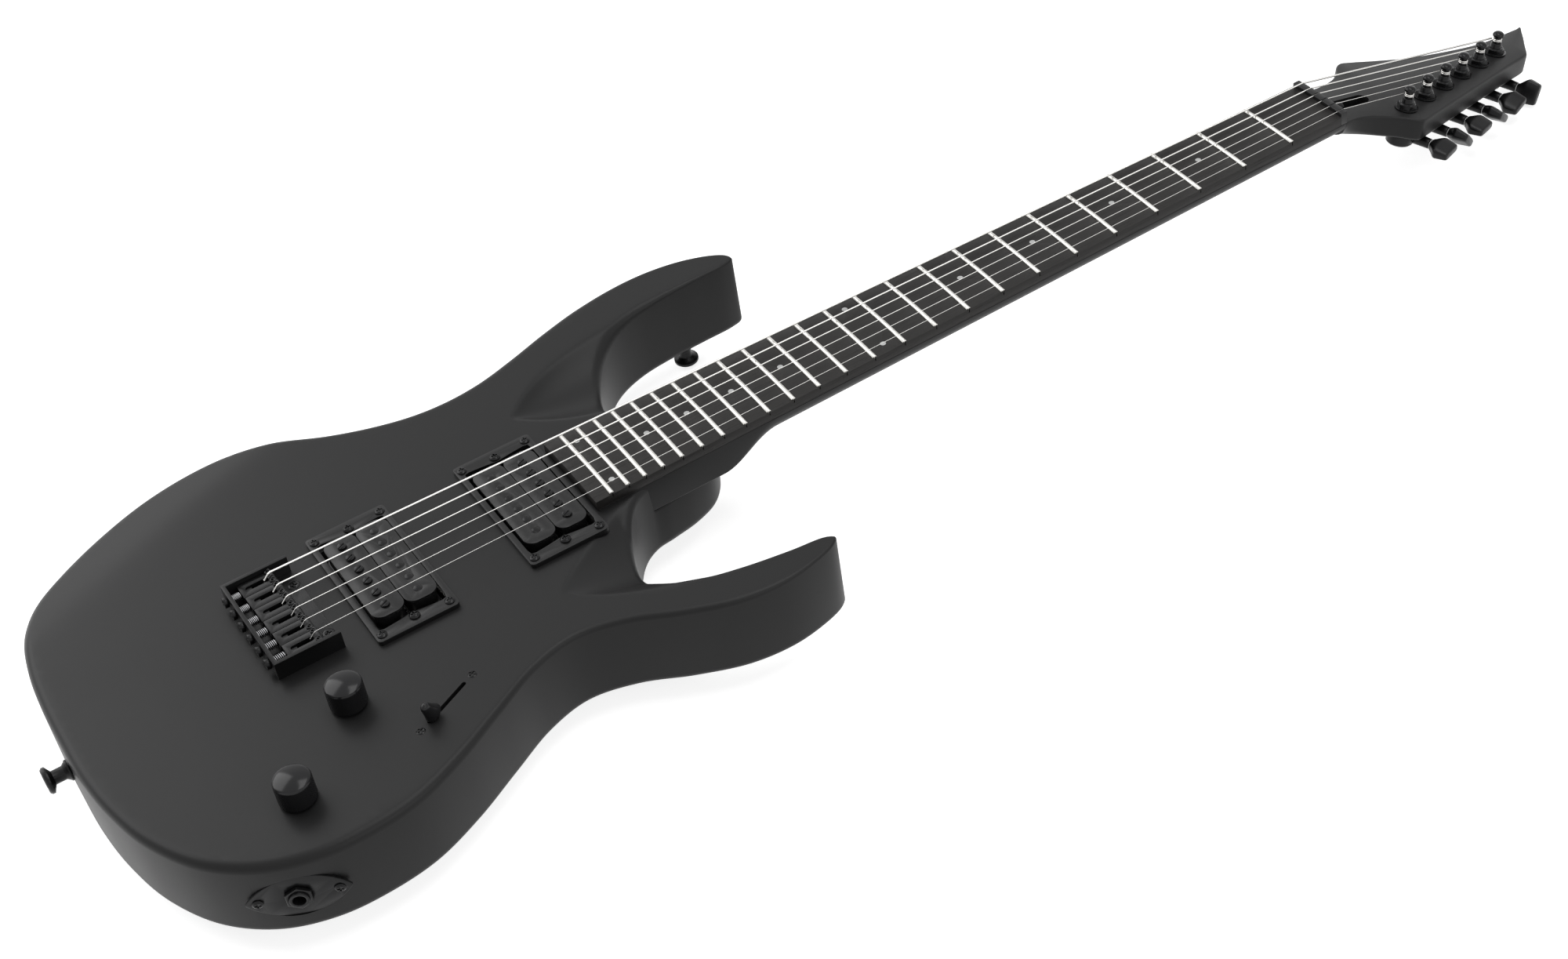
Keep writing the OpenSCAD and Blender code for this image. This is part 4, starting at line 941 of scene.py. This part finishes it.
class GUITAR_OT_neck(Operator):
    """Shape the neck and headstock as one carved length"""

    bl_idname = "guitar.neck"
    bl_label = "Neck"

    def execute(self, context):
        bm = bmesh.new()
        previous = None
        for x, z, lean, points in (*shaft_stations(), *head_stations()):
            place = shift((x, 0, z)) @ turn("Y", lean)
            verts = [bm.verts.new(place @ Vector((0, y, h))) for y, h in points]
            following = verts[1:] + verts[:1]
            for pair in zip(verts, following):
                bm.edges.new(pair)
            if previous is None:
                bm.faces.new(verts)
            else:
                for k, (here, there) in enumerate(zip(verts, following)):
                    bm.faces.new((previous[k], previous[(k + 1) % len(verts)], there, here))
            previous = verts
        bm.faces.new(previous)
        piece = shaped("neck_carved", bm, Matrix(), 38, lacquer(), "neck")
        # The truss nut's pocket behind the nut: square at the nut, round at its far end
        half, far = 4.6, 30
        loop = [(2, half), (2, -half)] + [(far + half * sin(a), -half * cos(a))
                                          for a in np.linspace(0, pi, 13)]
        cut_away(piece, prism(loop, -9.6, 4.4), head_matrix(), 38)
        return {"FINISHED"}


# --- Controls ---


KNOB_RADIUS = 9.5
KNURL_BITE = 0.42
KNURL_ROWS = 17
KNURL_FROM, KNURL_TO = 3.0, 14.4
# Height, and how far inside the knob's radius
KNOB_FOOT = ((1.2, 1.5), (1.8, 0.9), (2.5, 0.35))
KNOB_DOME = ((14.75, 0.35), (15.05, 0.5), (15.5, 0.62), (15.8, 1.0), (16.15, 2.0), (16.6, 3.6),
             (16.95, 5.4), (17.2, 7.2), (17.32, 8.8))


class GUITAR_OT_knobs(Operator):
    """Turn the two knurled knobs with their domed tops"""

    bl_idname = "guitar.knobs"
    bl_label = "Knobs"

    def execute(self, context):
        for node, (x, y) in KNOB_AT.items():
            self.knob(node, x, y)
        return {"FINISHED"}

    def knob(self, node, x, y):
        bm = bmesh.new()

        def loop(z, inside):
            r = KNOB_RADIUS - inside
            place = shift((0, 0, z)) @ Matrix.Diagonal((r, r, 1, 1))
            return ring_loop(bm, shape().knurls * 2, place)

        loops = [loop(*level) for level in KNOB_FOOT]
        for k in range(KNURL_ROWS):
            z = KNURL_FROM + (KNURL_TO - KNURL_FROM) * k / (KNURL_ROWS - 1)
            loops.append(loop(z, 0.02))
            for j, vert in enumerate(loops[-1][0]):
                if (j + k) % 2:
                    vert.co.x *= 1 - KNURL_BITE / KNOB_RADIUS
                    vert.co.y *= 1 - KNURL_BITE / KNOB_RADIUS
        loops += [loop(*level) for level in KNOB_DOME]
        bridged(bm, loops)
        shaped(f"{node}_turned", bm, shift((x, y, 0)), 28, knob_black(), node)


SWITCH_PIVOT = -16
SWITCH_LEAN = radians(-26.5)
SWITCH_TIP = [
    (0, 20.8), (3.4, 20.8), (4.4, 21.1), (4.85, 21.9), (4.8, 22.8), (4.2, 24.6), (3.5, 26.8),
    (2.95, 29.0), (2.6, 30.6), (2.1, 31.8), (1.2, 32.5), (0, 32.7)]


class GUITAR_OT_switch(Operator):
    """Shape the switch lever and its moulded tip"""

    bl_idname = "guitar.switch"
    bl_label = "Switch"

    def execute(self, context):
        place = (shift((*SWITCH_AT, SWITCH_PIVOT)) @ turn("Z", SWITCH_TURN)
                 @ turn("Y", SWITCH_LEAN))
        tip = turned(SWITCH_TIP, 40)
        bmesh.ops.scale(tip, vec=(1, 0.72, 1), verts=tip.verts)
        shaped("switch_tip_moulded", tip, place, 50, knob_black(), "switch_lever")
        blade = bmesh.new()
        block = shift((0, 0, 12)) @ Matrix.Diagonal((4.6, 1.2, 24, 1))
        bmesh.ops.create_cube(blade, size=1, matrix=block)
        bmesh.ops.bevel(blade, geom=list(blade.edges), offset=0.25, segments=2, affect="EDGES",
                        profile=0.5, material=-1)
        shaped("switch_blade", blade, place, 40, plain_steel(), "switch_lever", stands=False)
        return {"FINISHED"}


# --- Tuning machines ---

BUTTON_PROFILE = [  # distance out, half width, half thickness
    (-0.1, 2.9, 2.6), (0.4, 3.2, 2.9), (1.4, 3.9, 3.2), (2.6, 5.1, 3.5), (3.8, 6.3, 3.7),
    (4.8, 7.2, 3.75), (5.6, 7.55, 3.7), (6.4, 7.6, 3.6), (8.4, 7.35, 3.25), (10.4, 7.05, 2.9),
    (12.2, 6.75, 2.6), (12.9, 6.5, 2.45), (13.3, 6.1, 2.1), (13.5, 5.4, 1.5)]
SQUARENESS = 4.2  # 2 would leave the button's sections oval
SHAFT_END = KEY_START - 0.95
SHAFT_PROFILE = [
    (0, -3.6), (1.3, -3.6), (1.5, -3.4), (1.5, -2.4), (1.75, -2.3), (1.75, 2.3), (1.5, 2.4),
    (1.5, SHAFT_END), (0, SHAFT_END)]
WASHER_PROFILE = [
    (0, KEY_START - 0.9), (2.5, KEY_START - 0.9), (2.8, KEY_START - 0.7),
    (2.8, KEY_START - 0.15), (2.5, KEY_START), (0, KEY_START)]
POST_RADIUS = 3.3
WAIST_RADIUS = 1.9
POST_PROFILE = [
    (0, -20.3), (2.8, -20.3), (3.0, -20.1), (3.0, -17.1), (1.6, -17.0), (1.6, -15.6),
    (POST_RADIUS, -15.5), (POST_RADIUS, 6.4), (POST_RADIUS - 0.3, 6.9), (1.95, 7.0),
    (WAIST_RADIUS, 7.3), (WAIST_RADIUS, 10.8), (0, 10.9)]
CAP_PROFILE = [
    (0, 10.95), (2.9, 10.95), (3.3, 11.1), (3.5, 11.5), (3.5, 12.3), (3.25, 12.8), (2.8, 13.3),
    (2.2, 13.75), (1.3, 14.05), (0, 14.2)]
WIND_TURNS, WIND_STEPS, WIND_WIRE = 2.6, 22, 0.42
WIND_FROM, WIND_RISE = 7.6, 0.95


class GUITAR_OT_tuners(Operator):
    """Shape the tuning keys, posts and their caps"""

    bl_idname = "guitar.tuners"
    bl_label = "Tuning machines"

    def execute(self, context):
        for i in range(STRINGS):
            self.key(i)
            self.post(i)
        softened("tuner_housings", black_plating(), 0.5, 3)
        softened("tuner_bushings", black_chrome(), 0.3)
        return {"FINISHED"}

    def key(self, i):
        node = f"tuner_key_{i + 1}"
        place = (tuner_matrix(i) @ shift((0, WORM_OFFSET, SHAFT_LEVEL))
                 @ turn("X", radians(KEY_TURNS[i])))
        outwards = turn("Y", QUARTER)
        button = lofted([shift((KEY_START + out, 0, 0))
                         @ Matrix.Diagonal((1, half, thick, 1)) @ outwards
                         for out, half, thick in BUTTON_PROFILE], 40)
        # Square the oval sections up a little, as a moulded button has flats
        outs, halves, thicks = zip(*BUTTON_PROFILE)
        for vert in button.verts:
            out = vert.co.x - KEY_START
            u = abs(vert.co.y / float(np.interp(out, outs, halves)))
            v = abs(vert.co.z / float(np.interp(out, outs, thicks)))
            if u + v > 1e-6:
                grow = (u ** SQUARENESS + v ** SQUARENESS) ** (-1 / SQUARENESS)
                vert.co.y *= grow
                vert.co.z *= grow
        shaped(f"{node}_button", button, place, 60, black_plating(), node)
        for part, profile, material in (("shaft", SHAFT_PROFILE, black_chrome()),
                                        ("washer", WASHER_PROFILE, pearl())):
            shaped(f"{node}_{part}", turned(profile, 36), place @ outwards, 35, material, node,
                   stands=False)

    def post(self, i):
        node = f"tuner_post_{i + 1}"
        place = tuner_matrix(i)
        shaped(f"{node}_turned", turned(POST_PROFILE, 40), place, 35, black_chrome(), node)
        shaped(f"{node}_cap", turned(CAP_PROFILE, 40), place, 60, black_chrome(), node,
               stands=False)
        # The last turns of the string: a short helix on the waist
        reach = WAIST_RADIUS + WIND_WIRE

        def stand(a, share):
            spot = (reach * cos(a), reach * sin(a), WIND_FROM + WIND_RISE * WIND_TURNS * share)
            return shift(spot) @ turn("Z", a) @ turn("X", QUARTER)

        turns = wound(WIND_TURNS, WIND_STEPS, WIND_WIRE, stand)
        shaped(f"{node}_turns", turns, place, 70, nickel(), node, stands=False)


# --- Hardware, fretboard and strings that keep their construction shapes with broken edges ---


SPRING_FROM, SPRING_LEVEL = -26.0, 7.0
SPRING_LENGTH, SPRING_LONGER = 4.9, 0.3
SPRING_TURNS, SPRING_STEPS, SPRING_WIRE, SPRING_RADIUS = 6, 20, 0.3, 2.0


class GUITAR_OT_hardware(Operator):
    """Break the edges of the bridge, pickups, screws and fittings and give them their finishes"""

    bl_idname = "guitar.hardware"
    bl_label = "Hardware"

    def execute(self, context):
        plating, plastic, chrome = black_plating(), black_plastic(), black_chrome()
        softened("bridge_plate", plating, 0.45, 3)
        for i in range(1, STRINGS + 1):
            softened(f"saddle_{i}", plating)
            softened(f"intonation_screw_{i}", plating, 0.2)
        for node in ("bridge_ring", "neck_ring"):
            softened(node, plastic, 0.5, 3)
        for node in ("bridge_coils", "neck_coils"):
            softened(node, plastic, 0.3)
        for node in ("ring_screws", "height_screws", "panel_screws", "bridge_screws",
                     "neck_bolts", "string_ferrules"):
            softened(node, chrome, 0.15)
        softened("jack_plate", plating, 0.3)
        softened("jack_socket", plating, 0.3)
        softened("strap_buttons", plating, 0.4)
        softened("pickup_poles", chrome, 0.15)
        for i in range(STRINGS):
            self.saddle_spring(i)
        softened("truss_nut", chrome, 0.2)
        painted("control_cover", plastic)
        painted("pickup_bases", nickel())
        painted("wiring", wire_jacket())
        for node in ("pots", "switch_body", "height_springs", "truss_rod"):
            painted(node, plain_steel())
        return {"FINISHED"}

    def saddle_spring(self, i):
        """The spring around an intonation screw."""
        start, y, z = SPRING_FROM, string_y(i), SPRING_LEVEL
        length = SPRING_LENGTH + SPRING_LONGER * i

        def stand(a, share):
            x = start + SPRING_WIRE + (length - 2 * SPRING_WIRE) * share
            spot = (x, y + SPRING_RADIUS * cos(a), z + SPRING_RADIUS * sin(a))
            return shift(spot) @ turn("X", a)

        spring = wound(SPRING_TURNS, SPRING_STEPS, SPRING_WIRE, stand)
        piece = shaped(f"saddle_spring_{i + 1}_wound", spring, Matrix(), 70, plain_steel(),
                       "saddle_springs", rides=False)
        at(start, y, z)
        at(start + length, y, z)
        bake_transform(piece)


class GUITAR_OT_fretboard(Operator):
    """Finish the fretboard, frets, dots and nut"""

    bl_idname = "guitar.fretboard"
    bl_label = "Fretboard"

    def execute(self, context):
        softened("fretboard", ebony(), 0.5, crease=50)
        softened("frets", fret_nickel(), 0.3, crease=40)
        painted("position_dots", pearl())
        softened("nut", black_plastic(), 0.35)
        return {"FINISHED"}


class GUITAR_OT_strings(Operator):
    """Give the strings their bright wound steel"""

    bl_idname = "guitar.strings"
    bl_label = "Strings"

    def execute(self, context):
        painted("strings", string_steel())
        return {"FINISHED"}


# --- Stage ---

CAMERA_AT = (-181.0, -940.5, 873.2)
CAMERA_RIGHT = Vector((0.8386, -0.5331, -0.1119))
CAMERA_FORWARD = Vector((0.3327, 0.6640, -0.6697))


GLOW = 0.8  # how far the floor's own light lifts it to the background's white
# Name, place, aim, size in metres and power in watts
LIGHTS = (("key", (-1.3, 2.0, 2.0), (-0.1, 0, 0.05), (2.6, 2.2), 48),
          ("front", (0.9, -2.4, 1.6), (0, 0, 0.05), (2.6, 1.2), 14),
          ("top", (0.5, -0.1, 2.4), (0, 0, 0.05), (2.0, 1.0), 20))


def seen_by_camera(tree):
    """1 where the camera sees the background, straight or in gloss and glass."""
    path = add(tree, "LightPath", -500, -200)
    seen = add(tree, "Math", -300, -200, operation="MAXIMUM")
    both = add(tree, "Math", -150, -200, operation="MAXIMUM")
    wire(tree, (path, "Is Camera Ray", seen, 0), (path, "Is Glossy Ray", seen, 1),
         (seen, 0, both, 0), (path, "Is Transmission Ray", both, 1))
    return both


def floor_material():
    material, tree, shader = new_material("pale_floor")
    fill(shader, **{"Base Color": (0.8, 0.8, 0.8, 1), "Roughness": 1.0, "Specular IOR Level": 0.0})
    weight = add(tree, "Math", 0, -350, operation="MULTIPLY")
    weight.inputs[1].default_value = GLOW
    glow = add(tree, "Emission", 0, -200, Color=(1, 1, 1, 1))
    total = add(tree, "AddShader", 300, 0)
    wire(tree, (seen_by_camera(tree), 0, weight, 0), (weight, 0, glow, "Strength"),
         (shader, 0, total, 0), (glow, 0, total, 1),
         (total, 0, tree.nodes["Material Output"], "Surface"))
    return material


def soft_light(name, place, aim, size, power):
    data = bpy.data.lights.new(name, "AREA")
    data.shape = "RECTANGLE"
    data.size, data.size_y = size
    data.energy = power
    light = linked(name, data)
    light.location = place
    light.rotation_euler = (Vector(aim) - Vector(place)).to_track_quat("-Z", "Y").to_euler()


class GUITAR_OT_stage(Operator):
    """Set up the pale floor, the soft lights and the camera"""

    bl_idname = "guitar.stage"
    bl_label = "Stage"

    def execute(self, context):
        scene = context.scene
        scene.view_settings.view_transform = "Standard"
        data = bpy.data.cameras.new("view")
        data.sensor_width = 36
        data.lens = 58.89
        data.shift_x = -0.01875
        data.shift_y = -0.00305
        data.clip_start = 0.01
        camera = linked("view", data)
        up = CAMERA_RIGHT.cross(CAMERA_FORWARD)
        aimed = Matrix((CAMERA_RIGHT, up, -CAMERA_FORWARD)).transposed().to_4x4()
        camera.matrix_world = shift(at(*CAMERA_AT)) @ aimed
        scene.camera = camera
        bm = bmesh.new()
        bmesh.ops.create_grid(bm, x_segments=1, y_segments=1, size=12)
        mesh = as_mesh("floor", bm)
        coat_mesh(mesh, floor_material())
        linked("floor", mesh)
        world = bpy.data.worlds.new("studio")
        scene.world = world
        world.use_nodes = True
        tree = world.node_tree
        base = fill(tree.nodes["Background"], Color=(1, 1, 1, 1))
        strength = add(tree, "MapRange", -250, **{"To Min": 0.16, "To Max": 1.0})
        wire(tree, (seen_by_camera(tree), 0, strength, "Value"),
             (strength, "Result", base, "Strength"))
        for light in LIGHTS:
            soft_light(*light)
        return {"FINISHED"}


class GUITAR_PT_bench(bpy.types.Panel):
    """The guitar's pieces, in the order they are made"""

    bl_label = "Guitar"
    bl_idname = "GUITAR_PT_bench"
    bl_space_type = "VIEW_3D"
    bl_region_type = "UI"
    bl_category = "Guitar"

    def draw(self, context):
        for group in (context.scene.guitar_finish, context.scene.guitar_shape):
            for name in group.bl_rna.properties.keys():
                if name not in ("rna_type", "name"):
                    self.layout.prop(group, name)
        for step in STEPS:
            self.layout.operator(step.bl_idname)


STEPS = (GUITAR_OT_stage, GUITAR_OT_body, GUITAR_OT_neck, GUITAR_OT_fretboard, GUITAR_OT_strings,
         GUITAR_OT_hardware, GUITAR_OT_knobs, GUITAR_OT_switch, GUITAR_OT_tuners)
CLASSES = (GuitarFinish, GuitarShape, *STEPS, GUITAR_PT_bench)


def register():
    for cls in CLASSES:
        bpy.utils.register_class(cls)
    bpy.types.Scene.guitar_finish = PointerProperty(type=GuitarFinish)
    bpy.types.Scene.guitar_shape = PointerProperty(type=GuitarShape)


def unregister():
    del bpy.types.Scene.guitar_shape
    del bpy.types.Scene.guitar_finish
    for cls in reversed(CLASSES):
        bpy.utils.unregister_class(cls)


def main():
    register()
    for step in STEPS:
        group, name = step.bl_idname.split(".")
        getattr(getattr(bpy.ops, group), name)()


if __name__ == "__main__":
    main()
